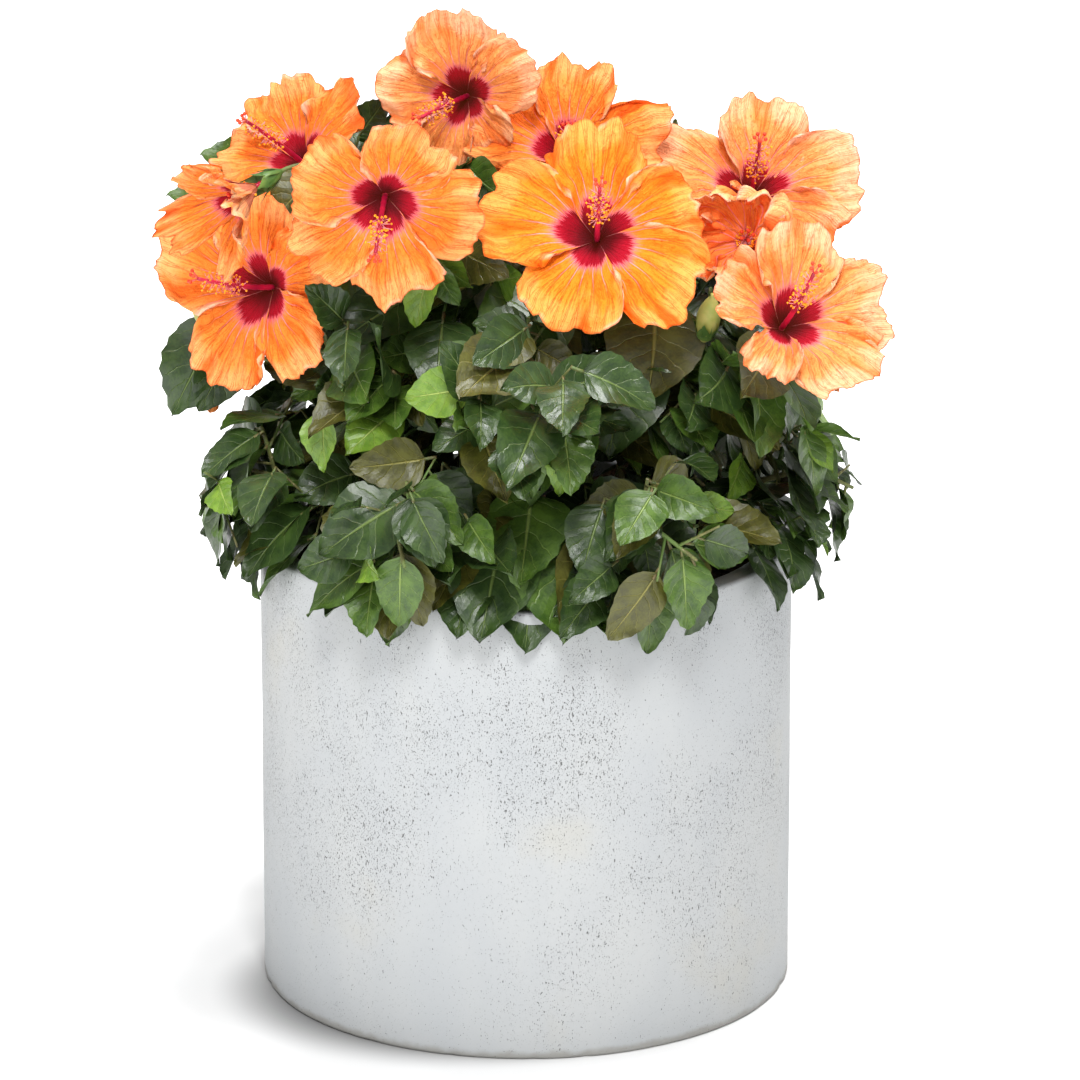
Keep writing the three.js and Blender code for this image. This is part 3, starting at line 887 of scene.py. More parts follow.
# Each leaf's root and tip, the way that its face looks, its form, its tint and its breadth.
LISTED_LEAVES = [
    ((-186, 74, 606), (-244, 56, 628), (-40, 35), 3, GREEN, 1.0),
    ((-150, -35, 640), (-190, -48, 604), (-30, 20), 0, OLIVE, 1.1),
    ((-138, -50, 622), (-184, -40, 586), (-60, 50), 4, DEEP, 1.0),
    ((-124, 22, 650), (-104, 8, 682), (20, 40), 3, DEEP, 1.1),
    ((-222, 6, 522), (-268, -8, 440), (-20, 12), 3, DEEP, 0.9),
    ((-214, -6, 505), (-244, -26, 448), (14, 20), 0, DEEP, 0.9),
    ((96, -92, 556), (92, -140, 494), (4, 34), 2, OLIVE, 1.25),
    ((28, -92, 556), (-36, -140, 536), (-14, 46), 2, GREEN, 1.25),
    ((-8, -70, 548), (44, -112, 512), (14, 50), 4, OLIVE, 0.95),
    ((104, -60, 540), (172, -96, 520), (24, 52), 0, DEEP, 0.95),
    ((70, -84, 520), (62, -142, 452), (-6, 26), 2, DEEP, 1.15),
    ((-70, -70, 560), (-142, -118, 536), (-30, 40), 4, DEEP, 1.0),
    ((-60, -96, 548), (-66, -146, 500), (-8, 34), 0, DEEP, 1.1),
    ((-44, 6, 634), (-22, -14, 668), (16, 34), 0, DEEP, 0.9),
    ((-214, 40, 590), (-268, 22, 606), (-30, 40), 3, GREEN, 0.9),
    ((112, 24, 560), (120, -14, 622), (0, 12), 3, GREEN, 0.9),
    ((-14, -150, 410), (-34, -226, 338), (-8, 40), 0, DEEP, 1.0),
    ((18, -152, 412), (34, -228, 342), (10, 38), 2, GREEN, 1.0),
    ((2, -156, 396), (2, -222, 328), (0, 30), 4, DEEP, 1.0),
    ((6, -136, 432), (-4, -214, 376), (4, 50), 3, GREEN, 1.0),
]


def gaps(points: np.ndarray, segments: np.ndarray) -> np.ndarray:
    """The distance from each point to each straight piece.

    Args:
        points: The points, one to a row.
        segments: The pieces, each a start and an end.

    Returns:
        A row of distances for each point.
    """
    start, span = segments[:, 0], segments[:, 1] - segments[:, 0]
    away = points[:, None] - start
    share = np.clip((away * span).sum(-1) / (span**2).sum(-1), 0.0, 1.0)
    return np.linalg.norm(away - share[..., None] * span, axis=-1)


@dataclass(frozen=True)
class LeafPlace:
    """Where a leaf grows: its root, its direction, the way its face looks, and its whole length."""

    root: Vector
    direction: Vector
    face: Vector
    length: float

    def matrix(self) -> Matrix:
        """Takes X across the leaf, Y along it and Z out of its face."""
        side = self.direction.cross(self.face).normalized()
        return placed(self.root, side, self.direction, side.cross(self.direction), self.length)


@dataclass
class Growth:
    """The shrub's limbs, twigs and leaves, grown by the rule of the frame's solids and carried on."""

    pot_radius: float = 200.0
    pot_height: float = 350.0
    foot: float = 330.0
    leader_tip: float = 520.0
    lean: float = 6.0
    clearance: float = 0.3
    leader_radius: float = 10.0
    bough_radius: float = 5.2
    bough_tip: float = 3.4
    stem_radius: float = 3.3
    stem_tip: float = 1.8
    twig_radius: float = 2.0
    twig_tip: float = 1.3
    stalk_radius: float = 2.2
    stalk_tip: float = 1.7
    twig_length: float = 62.0
    fine_twig_length: float = 38.0
    leaf_lengths: tuple[float, float] = (80.0, 24.0)
    small_lengths: tuple[float, float] = (62.0, 22.0)
    leaf_width: float = 0.7
    leaf_widest: float = 0.46
    leaf_fold: float = 0.1
    leaf_thickness: float = 1.6
    tiers: tuple[Tier, ...] = (
        Tier("low", 7, 25.7, 192, 392, 350, 4, 0.8),
        Tier("mid", 6, 0, 156, 496, 396, 5, 0.55),
        Tier("high", 4, 45, 88, 588, 446, 11, 0.35),
    )
    top: Vector = field(default_factory=lambda: Vector((-2, 4, 640)))
    top_droop: float = 0.2
    crown_reach: float = 272.0
    crown_waist: float = 470.0
    crown_rise: float = 205.0
    crown_round: float = 2.2
    crown_taper: float = 0.25
    lowest_leaf: float = 290.0
    masses: list[Mass] = field(default_factory=list)
    leaves: list[LeafPlace] = field(default_factory=list)
    small: list[LeafPlace] = field(default_factory=list)
    listed: list[tuple[LeafPlace, tuple[int, int, float]]] = field(default_factory=list)
    shoots: list[tuple[Line, float, float]] = field(default_factory=list)

    def __post_init__(self) -> None:
        """Lays out the limbs and what keeps leaves away."""
        rise = self.leader_tip - self.foot
        self.leader = Line((
            Vector((0, 0, self.foot)),
            Vector((self.lean, self.lean, self.foot + rise / 3)),
            Vector((-self.lean, 0, self.foot + rise * 2 / 3)),
            Vector((-self.lean, self.lean, self.leader_tip)),
        ))
        for tier in self.tiers:
            for i in range(tier.count):
                azimuth = tier.turn + i * 360 / tier.count
                fork = tier.fork + ((2 * i) % (tier.count | 1)) * tier.fork_step
                start = self.leader.at((fork - self.foot) / rise)
                reach = tier.reach * 0.55
                end = around(azimuth, reach, fork + (tier.height - fork) * 0.55)
                control = around(azimuth, reach * 0.6, start.z + (end.z - start.z) * 0.3)
                centre = around(azimuth, tier.reach, tier.height)
                self._add_mass(f"{tier.name}_{i + 1}", centre, tier.droop, bend(start, control, end))
        self._add_mass("top", self.top, self.top_droop, None)
        self.centres = np.array([tuple(m.centre) for m in self.masses])
        boughs = [m.bough.segments(12) for m in self.masses if m.bough]
        self.limbs = np.concatenate(boughs + [self.leader.segments(12)])
        self.limb_radii = np.array([self.bough_radius] * (12 * len(boughs)) + [self.leader_radius] * 12)
        self.flowers = BLOOMS + BUDS
        self.eyes = np.array([f.at for f in self.flowers], dtype=float)
        self.axes = np.array([tuple(f.axis) for f in self.flowers])
        rooms = [
            (f.across / 2, THROAT_DEPTH + 4, f.cup + 8, f.across * 0.3, COLUMN_LENGTH) if f.across
            else (BUD_RADIUS + 2, CALYX_BEHIND, 4.0, 0.0, 0.0)
            for f in self.flowers
        ]
        self.rooms = np.array(rooms)

    def _add_mass(self, name: str, centre: Vector, droop: float, bough: Line | None) -> None:
        """Adds a mass whose stem goes on from the tip of its bough, or of the leader.

        Args:
            name: The mass's name.
            centre: Its centre.
            droop: How far its leaves hang.
            bough: The bough that carries it, or None on the leader.
        """
        below = bough or self.leader
        direction = below.tangent(1.0)
        start = below.at(1.0) + direction * self.clearance
        end = centre.copy()
        if bough:
            end = Vector((centre.x * 1.14, centre.y * 1.14, centre.z + 22))
        stem = bend(start, start + direction * (end - start).length * 0.45, end)
        self.masses.append(Mass(name, centre, droop, bough, stem, SEED + len(self.masses)))

    def in_crown(self, points: np.ndarray) -> np.ndarray:
        """True for each point inside the crown's outline and clear of the pot and its mix.

        Args:
            points: The points, one to a row.

        Returns:
            One answer for each point.
        """
        off = np.hypot(points[:, 0], points[:, 1])
        height = points[:, 2]
        above = (height - self.crown_waist) / self.crown_rise
        dome = self.crown_reach * (1 - np.clip(above, 0, 1) ** self.crown_round) ** (1 / self.crown_round)
        skirt = self.crown_reach + self.crown_taper * (height - self.crown_waist)
        limit = np.where(above < 0, skirt, dome)
        floor = np.where(off < self.pot_radius + 4, self.pot_height + 4, self.lowest_leaf)
        return (height >= floor) & (above < 1) & (off < limit)

    def off_limbs(self, points: np.ndarray, room: float) -> np.ndarray:
        """True for each point clear of the boughs and the leader."""
        return (gaps(points, self.limbs) > self.limb_radii + room).all(-1)

    def in_flowers(self, points: np.ndarray, room: float) -> np.ndarray:
        """True for each point and flower where the point is in the room that the flower keeps.

        Args:
            points: The points, one to a row.
            room: The room to leave round each flower.

        Returns:
            A row of answers for each point, one for each flower.
        """
        away = points[:, None] - self.eyes
        ahead = (away * self.axes).sum(-1)
        off = np.linalg.norm(away - ahead[..., None] * self.axes, axis=-1)
        radius, behind, before, drum, drum_length = self.rooms.T
        disc = (off < radius + room) & (ahead > -behind - room) & (ahead < before + room)
        column = (off < drum + room) & (ahead > 0) & (ahead < drum_length + room)
        stalk = (off < CALYX_RADIUS + 2 + room) & (ahead > -CALYX_BEHIND - room) & (ahead < 0)
        return disc | column | stalk

    def in_own_space(self, owner: Mass, points: np.ndarray, room: float) -> np.ndarray:
        """True for each point that is nearer to its mass's centre than to others', and off their stalks.

        Args:
            owner: The mass.
            points: The points, one to a row.
            room: The room to leave on either side.

        Returns:
            One answer for each point.
        """
        mine = np.array(tuple(owner.centre))
        others = np.array([m is not owner for m in self.masses])
        centres = self.centres[others]
        lead = ((points[:, None] - centres) ** 2).sum(-1) - ((points - mine) ** 2).sum(-1)[:, None]
        free = (lead / (2 * np.linalg.norm(centres - mine, axis=-1)) > room).all(-1)
        stalks = [s for m in self.masses if m is not owner for s in m.stalks]
        if stalks:
            free &= (gaps(points, np.concatenate(stalks)) > self.stalk_radius + 2 + room).all(-1)
        return free

    def is_free(self, owner: Mass, places: Iterable[Vector], room: float) -> bool:
        """True where all the places are free for a mass to grow in.

        Args:
            owner: The mass that grows.
            places: The places.
            room: The room to leave.

        Returns:
            True where nothing is in the way.
        """
        points = np.array([tuple(p) for p in places])
        return bool(
            self.in_crown(points).all()
            and not self.in_flowers(points, room).any()
            and self.off_limbs(points, room).all()
            and self.in_own_space(owner, points, room).all()
        )

    def attach(self, flower: Flower) -> None:
        """Grows a flower's stalk from the nearest stem that it can reach past limbs and other flowers.

        Args:
            flower: The bloom or bud.
        """
        best = None
        own = self.flowers.index(flower)
        for mass in self.masses:
            for share in (0.35, 0.55, 0.75, 0.9):
                start = mass.stem.at(share)
                gap = (start - flower.base).length
                line = bend(start, flower.base - flower.axis * gap * 0.4, flower.base)
                middle = np.array([tuple(p) for p in line.samples(8)[1:7]])
                inside = self.in_flowers(middle, 3.0)
                inside[:, own] = False
                if self.off_limbs(middle, 3.0).all() and not inside.any() and (not best or gap < best[0]):
                    best = (gap, line, mass)
        _, flower.stalk, flower.owner = best
        flower.owner.stalks.append(flower.stalk.segments(8))
        self._keep(flower.owner, flower.stalk, self.stalk_radius, self.stalk_tip)

    def _keep(self, owner: Mass, line: Line, root: float, tip: float) -> None:
        """Keeps a limb's solid, so that leaves don't cross it.

        Args:
            owner: The mass that the limb is part of.
            line: The limb's middle.
            root: Its radius where it starts.
            tip: Its radius where it ends.
        """
        mesh = tube(line, lambda share: root + (tip - root) * share, 3, 3)
        owner.solids.append((line, tree_of(mesh)))
        bpy.data.meshes.remove(mesh)

    def _corners(self, leaf: LeafPlace) -> list[Vector]:
        """A leaf's root, tip, two edges, and midrib above and below.

        Args:
            leaf: The leaf.

        Returns:
            The six places.
        """
        side = leaf.direction.cross(leaf.face).normalized()
        normal = side.cross(leaf.direction)
        width = leaf.length * self.leaf_width
        middle = leaf.root + leaf.direction * leaf.length * self.leaf_widest
        edge = middle + normal * width * self.leaf_fold
        tip = leaf.root + leaf.direction * leaf.length - normal * leaf.length * self.leaf_fold
        thick = normal * self.leaf_thickness / 2
        half = side * width / 2
        return [leaf.root, tip, edge + half, edge - half, middle + thick, middle - thick]

    def _try_leaf(self, owner: Mass, leaf: LeafPlace, limb: Line, room: float) -> bool:
        """Grows a leaf if it is in its mass's space and crosses nothing but its own limb.

        Args:
            owner: The mass that it belongs to.
            leaf: The leaf.
            limb: The line that it grows on.
            room: The room to leave.

        Returns:
            True where it has grown.
        """
        corners = self._corners(leaf)
        root, tip, left, right, top, _ = corners
        samples = [tip, left, right, top]
        for edge in (left, right, top):
            for share in (0.33, 0.66):
                samples += [edge.lerp(tip, share), edge.lerp(root, share * 0.8)]
        if not self.is_free(owner, samples, room):
            return False
        faces = ((0, 2, 4), (2, 1, 4), (1, 3, 4), (3, 0, 4), (2, 0, 5), (1, 2, 5), (3, 1, 5), (0, 3, 5))
        tree = BVHTree.FromPolygons(corners, faces)
        if any(own is not limb and tree.overlap(other) for own, other in owner.solids):
            return False
        owner.solids.append((leaf, tree))
        return True

    def _next_length(self, owner: Mass, small: bool) -> float:
        """The whole length of a mass's next leaf, drawn from its own run."""
        middle, spread = self.small_lengths if small else self.leaf_lengths
        return middle + (owner.draw() - 0.5) * spread

    def grow_leaf(
        self, owner: Mass, limb: Line, share: float, turn: float, length: float, small: bool
    ) -> None:
        """Tries a leaf at each of its lengths and swings until it has room.

        Args:
            owner: The mass that it belongs to.
            limb: The line that it grows on.
            share: Where on that line.
            turn: The direction that it leaves in, round the line.
            length: Its whole length.
            small: True for the leaves of the finer twigs.
        """
        at = limb.at(share)
        onward = limb.tangent(share)
        outward = Vector((at.x, at.y, 0.0)).normalized()
        face = outward + UP * 0.7
        if small:
            face += square_to(outward, owner.draw() * 360) * 0.55
        for length_share in (1.0, 0.84, 0.7):
            for swing in (0, 50, -50, 100, -100, 180):
                direction = square_to(onward, turn + swing) * 0.8 + onward * 0.4 + outward * 0.35
                direction = (direction - UP * owner.droop).normalized()
                leaf = LeafPlace(at - direction * 0.5, direction, face, length * length_share)
                if self._try_leaf(owner, leaf, limb, 0.8 if small else 1.5):
                    (self.small if small else self.leaves).append(leaf)
                    return

    def grow_twig(self, owner: Mass, share: float, turn: float) -> None:
        """Grows a twig sideways from the stem, shortened until it has room, with leaves round it.

        Args:
            owner: The mass that it belongs to.
            share: Where on the stem.
            turn: The direction that it leaves in, round the stem.
        """
        start = owner.stem.at(share)
        onward = owner.stem.tangent(share)
        direction = square_to(onward, turn) * 0.85 + onward * 0.55 + UP * (0.25 - 0.4 * owner.droop)
        direction.normalize()
        length = self.twig_length * (1.1 - 0.4 * share) * (1 + 0.3 * (owner.draw() - 0.5))
        for length_share in (1.0, 0.7, 0.45):
            line = Line((start, start + direction * length * length_share))
            if self.is_free(owner, line.samples(5)[1:], 3.0):
                self._keep(owner, line, self.twig_radius, self.twig_tip)
                self.shoots.append((line, self.twig_radius, self.twig_tip))
                owner.twigs.append(line)
                for i in range(3):
                    size = self._next_length(owner, False)
                    self.grow_leaf(owner, line, (i + 1) / 3 - 0.03, turn + i * GOLDEN_ANGLE, size, False)
                return

    def grow(self) -> None:
        """Grows all by the rule, then carries it on to finer twigs and smaller leaves."""
        for mass in self.masses:
            self._keep(mass, mass.stem, self.stem_radius, self.stem_tip)
            self.shoots.append((mass.stem, self.stem_radius, self.stem_tip))
        for flower in self.flowers:
            self.attach(flower)
        for mass in self.masses:
            for i in range(5):
                self.grow_twig(mass, 0.12 + i * 0.215, 40 + i * GOLDEN_ANGLE)
            for share in (0.3, 0.65, 0.98):
                size = self._next_length(mass, False)
                self.grow_leaf(mass, mass.stem, share, share * 900, size, False)
        for flower in self.flowers:
            for share in (0.3, 0.62):
                size = self._next_length(flower.owner, False)
                self.grow_leaf(flower.owner, flower.stalk, share, share * 700, size, False)
        for mass in self.masses:
            self._carry_on(mass)
        for root, tip, face, *look in LISTED_LEAVES:
            self._hang(Vector(root), Vector(tip), heading(*face), tuple(look))
        self.leaves = [self._off_faces(leaf) for leaf in self.leaves]
        self.small = [self._off_faces(leaf) for leaf in self.small]

    def _hang(self, root: Vector, tip: Vector, face: Vector, look: tuple[int, int, float]) -> None:
        """Adds a leaf between two places, and a thin shoot to it from the nearest stem or stalk.

        Args:
            root: The leaf's root.
            tip: Its tip.
            face: The way that its face looks.
            look: Its form, its tint and its breadth.
        """
        self.listed.append((LeafPlace(root, (tip - root).normalized(), face, (tip - root).length), look))
        lines = [m.stem for m in self.masses] + [f.stalk for f in self.flowers]
        starts = [(line, share) for line in lines for share in (0.2, 0.4, 0.6, 0.8)]
        line, share = min(starts, key=lambda s: (s[0].at(s[1]) - root).length)
        start = line.at(share)
        self.shoots.append((bend(start, start.lerp(root, 0.5) - UP * 6, root), 1.3, 1.0))

    def _off_faces(self, leaf: LeafPlace) -> LeafPlace:
        """The leaf, turned down and shortened where its tip would stand before an open flower's face.

        Args:
            leaf: The leaf.

        Returns:
            The leaf as it stays.
        """
        tip = leaf.root + leaf.direction * leaf.length
        for flower in BLOOMS:
            away = tip - flower.eye
            ahead = away.dot(flower.axis)
            if 0 < ahead < 70 and (away - flower.axis * ahead).length < flower.across * 0.46:
                out = (away - flower.axis * ahead).normalized()
                direction = (leaf.direction + out * 0.7 - UP * 0.3).normalized()
                return LeafPlace(leaf.root, direction, leaf.face, leaf.length * 0.7)
        return leaf

    def _carry_on(self, mass: Mass) -> None:
        """Fills a mass with finer twigs on its stem, twigs and bough, each with small leaves.

        Args:
            mass: The mass.
        """
        limbs = [(line, (0.25, 0.55, 0.85)) for line in mass.twigs]
        limbs.append((mass.stem, (0.06, 0.2, 0.4, 0.52, 0.75, 0.88)))
        if mass.bough:
            limbs.append((mass.bough, (0.5, 0.66, 0.82, 0.97)))
        for number, (limb, shares) in enumerate(limbs):
            for i, share in enumerate(shares):
                turn = 75 + number * 61 + i * GOLDEN_ANGLE
                onward = limb.tangent(share)
                direction = square_to(onward, turn) * 0.9 + onward * 0.5 + UP * (0.3 - 0.4 * mass.droop)
                direction.normalize()
                start = limb.at(share)
                length = self.fine_twig_length * (0.8 + 0.4 * mass.draw())
                line = Line((start, start + direction * length))
                if not self.is_free(mass, line.samples(4)[2:], 1.0):
                    line = Line((start, start + direction * length * 0.4))
                before = len(self.small)
                for k in range(4):
                    size = self._next_length(mass, True)
                    self.grow_leaf(mass, line, 1.0 - k * 0.28, turn + 90 + k * GOLDEN_ANGLE, size, True)
                if len(self.small) > before:
                    self.shoots.append((line, 1.2, 0.8))


def tree_of(mesh: bpy.types.Mesh) -> BVHTree:
    """A mesh's faces, ready to be tested against others."""
    return BVHTree.FromPolygons([v.co for v in mesh.vertices], [tuple(p.vertices) for p in mesh.polygons])


@dataclass
class Pot:
    """The straight round pot, cast in concrete, and the potting mix in it."""

    radius: float = 200.0
    height: float = 350.0
    wall: float = 18.0
    floor: float = 20.0
    edge: float = 3.0
    crown: float = 330.0
    rim_mix: float = 318.0
    flat: float = 60.0
    clearance: float = 0.3
    rows: int = 64
    turns: int = 224
    crumbs: int = 1300

    def _turned(self, profile: Sequence[tuple[float, float]], turns: int) -> bpy.types.Mesh:
        """A profile of radii and heights spun round the Z axis and closed.

        Args:
            profile: The radii and heights.
            turns: How many steps a full turn has.

        Returns:
            The mesh.
        """

        def build(bm: bmesh.types.BMesh) -> None:
            """Spins the profile.

            Args:
                bm: The bmesh to fill.
            """
            verts = [bm.verts.new((radius, 0.0, height)) for radius, height in profile]
            edges = [bm.edges.new(pair) for pair in zip(verts, verts[1:])]
            bmesh.ops.spin(
                bm, geom=verts + edges, cent=(0, 0, 0), axis=(0, 0, 1), dvec=(0, 0, 0),
                angle=2 * math.pi, steps=turns, use_merge=True, use_duplicate=False,
            )
            bmesh.ops.remove_doubles(bm, verts=bm.verts, dist=0.01)
            bmesh.ops.recalc_face_normals(bm, faces=bm.faces)

        return shape(build)

    def _corner(self, radius: float, height: float, first: float) -> list[tuple[float, float]]:
        """A worn rounded corner of the profile, a quarter turn from an angle in degrees."""
        turns = [math.radians(first + i * 22.5) for i in range(5)]
        return [(radius + self.edge * math.cos(t), height + self.edge * math.sin(t)) for t in turns]

    def _profile(self) -> list[tuple[float, float]]:
        """The wall's section, from the underside round the rim to the floor inside.

        Returns:
            Its radii and heights.
        """
        inner = self.radius - self.wall
        out, low, high = self.radius - self.edge, self.edge, self.height - self.edge
        rise = (high - low) / self.rows
        side = [(self.radius, low + i * rise) for i in range(1, self.rows)]
        inside = [(inner, high - i * 12.0) for i in range(1, 6)]
        return (
            [(0.0, 0.0), (out * 0.5, 0.0), (out - 4, 0.0)] + self._corner(out, low, -90) + side
            + self._corner(out, high, 0) + self._corner(inner + self.edge, high, 90)
            + inside + [(inner, self.floor), (0.0, self.floor)]
        )

    def _wear(self, mesh: bpy.types.Mesh) -> None:
        """Gives the cast wall its faint waves and its lower edge some chips.

        Args:
            mesh: The pot's mesh.
        """
        for vert in mesh.vertices:
            co = vert.co
            off = math.hypot(co.x, co.y)
            if off < 1 or self.floor <= co.z <= self.floor + 1:
                continue
            out = Vector((co.x / off, co.y / off, 0.0))
            wave = 0.35 * noise.noise(co * 0.012) + 0.12 * noise.noise(co * 0.06)
            chip = max(0.0, noise.noise(co * 0.085 + Vector((9, 0, 0))) - 0.25) * 3.2
            low = smooth(9.0, 0.5, co.z) * smooth(self.radius - 8, self.radius - 2, off)
            inward = wave + chip * low
            if co.z > 0.01:
                vert.co = co - out * max(inward, -0.3)

    def build(self) -> None:
        """Makes the pot and the mix."""
        wall = self._turned(self._profile(), self.turns)
        self._wear(wall)
        pot = Cluster("pot_cast")
        pot.take(wall)
        pot.piece(ConcreteFinish().material(), ["pot"], Slot.CONCRETE)
        self._build_mix()

    def _build_mix(self) -> None:
        """Makes the mix: a domed bed with rough ground and loose crumbs and chips of bark."""
        outer = self.radius - self.wall - self.clearance
        foot = self.floor + self.clearance
        drop = self.crown - self.rim_mix
        top = [
            (outer + (self.flat - outer) * i / 30, self.rim_mix + drop * i / 30) for i in range(31)
        ]
        inner = [(self.flat * (1 - i / 12), self.crown) for i in range(1, 13)]
        bed = self._turned([(0.0, foot), (outer, foot)] + top + inner, 160)
        for vert in bed.vertices:
            if vert.co.z > self.rim_mix - 1 and math.hypot(vert.co.x, vert.co.y) < outer - 1:
                vert.co.z += 2.2 * noise.noise(vert.co * 0.11) + 1.0 * noise.noise(vert.co * 0.35) - 1.2
        mix = Cluster("potting_mix_bed")
        mix.take(bed)
        chance = random.Random(SEED)
        chip = shape(lambda bm: bmesh.ops.create_icosphere(bm, subdivisions=1, radius=1.0))
        for _ in range(self.crumbs):
            off = (outer - 8) * math.sqrt(chance.random())
            turn = chance.uniform(0, 2 * math.pi)
            level = self.crown - drop * max(0.0, off - self.flat) / (outer - self.flat)
            size = chance.uniform(1.2, 4.2)
            spin = Matrix.Rotation(chance.uniform(0, 6.28), 4, "Z")
            spin @= Matrix.Rotation(chance.uniform(-0.5, 0.5), 4, "X")
            squash = Matrix.Diagonal((chance.uniform(0.8, 2.0), chance.uniform(0.6, 1.2), 0.45, 1.0))
            place = Matrix.Translation(polar(off, turn, level - 1.5))
            mix.add(chip, place @ spin @ squash @ Matrix.Scale(size, 4))
        bpy.data.meshes.remove(chip)
        mix.piece(MixFinish().material(), ["potting_mix"], Slot.POTTING_MIX)


@dataclass
class Wood:
    """The leader, the boughs, and the green shoots that go on from them."""

    growth: Growth
    flare: float = 0.7
    flare_height: float = 12.0
    leader_tip_radius: float = 4.0

    def _knotty(self, root: float, tip: float, seed: float, knots: int) -> Callable[[float], float]:
        """A radius that tapers and swells a little at its leaf scars.

        Args:
            root: The radius where the limb starts.
            tip: The radius where it ends.
            seed: A number of its own.
            knots: How many leaf scars it has.

        Returns:
            The radius at each share.
        """

        def radius(share: float) -> float:
            """The radius at a share of the limb."""
            knot = 0.06 * max(0.0, math.cos(share * knots * 2 * math.pi + seed)) ** 6
            return (root + (tip - root) * share) * (1 + knot + 0.04 * ripple(share * 9, seed, 2.0))

        return radius

    def _roughen(self, mesh: bpy.types.Mesh, depth: float) -> bpy.types.Mesh:
        """Cuts shallow furrows along a limb's bark.

        Args:
            mesh: The limb.
            depth: How deep the furrows are.

        Returns:
            The same mesh.
        """
        moves = [
            v.normal * depth * noise.noise(Vector((v.co.x * 0.5, v.co.y * 0.5, v.co.z * 0.09)))
            for v in mesh.vertices
        ]
        for vert, move in zip(mesh.vertices, moves):
            vert.co = vert.co + move
        return mesh

    def build(self) -> None:
        """Makes the trunk, the boughs and the shoots."""
        growth = self.growth
        rise = growth.leader_tip - growth.foot
        plain = self._knotty(growth.leader_radius, self.leader_tip_radius, 0.4, 9)

        def flared(share: float) -> float:
            """The leader's radius at a share of it, with the flare of its root."""
            return plain(share) * (1 + self.flare * math.exp(-share * rise / self.flare_height))

        trunk = Cluster("main_stem_bark")
        trunk.take(self._roughen(tube(growth.leader, flared, 24, 110), 0.7))
        finish = BarkFinish("bark", rgb(84, 66, 48), rgb(140, 118, 90), rgb(104, 110, 66), 0.25).material()
        trunk.piece(finish, ["main_stem"], Slot.BARK)
        boughs = Cluster("boughs_bark")
        for i, mass in enumerate(m for m in growth.masses if m.bough):
            radius = self._knotty(growth.bough_radius, growth.bough_tip, i * 1.3, 5)
            boughs.take(self._roughen(tube(mass.bough, radius, 14, 40), 0.4))
        names = [f"bough_{m.name}" for m in growth.masses if m.bough]
        boughs.piece(finish, names, Slot.BARK)
        shoots = Cluster("shoots")
        for i, (line, root, tip) in enumerate(growth.shoots):
            sides, steps = (8, 14) if root > 2 else (6, 6)
            shoots.take(tube(line, self._knotty(root, tip, i * 0.7, 3), sides, steps))
        for i, flower in enumerate(growth.flowers):
            radius = self._knotty(growth.stalk_radius * 0.85, growth.stalk_tip, i * 0.9, 2)
            shoots.take(tube(flower.shown_stalk(), radius, 8, 14))
        green = BarkFinish("green_bark", rgb(84, 76, 44), rgb(112, 112, 62), rgb(92, 122, 54), 0.5).material()
        shoots.piece(green, foliage_nodes(growth), Slot.FOLIAGE)


def foliage_nodes(growth: Growth) -> list[str]:
    """The frame's nodes for the masses of foliage."""
    return [f"foliage_{m.name}" for m in growth.masses]


@dataclass(frozen=True)
class LeafForm:
    """A leaf's fold, arch, twist, waves and teeth of its edge, breadth, and the notch in its foot."""

    fold: float
    arch: float
    twist: float
    wave: float
    teeth: float
    breadth: float
    heart: float
    seed: float


LEAF_TINTS = (
    LeafFinish("leaf_deep", rgb(56, 78, 30), rgb(32, 52, 22), rgb(108, 128, 66), 0.74),
    LeafFinish("leaf_green", rgb(80, 108, 36), rgb(48, 74, 24), rgb(132, 154, 78), 0.72),
    LeafFinish("leaf_olive", rgb(88, 88, 28), rgb(58, 58, 18), rgb(140, 134, 66), 0.68),
    LeafFinish("leaf_young", rgb(116, 148, 44), rgb(86, 120, 36), rgb(170, 190, 98), 0.70),
)


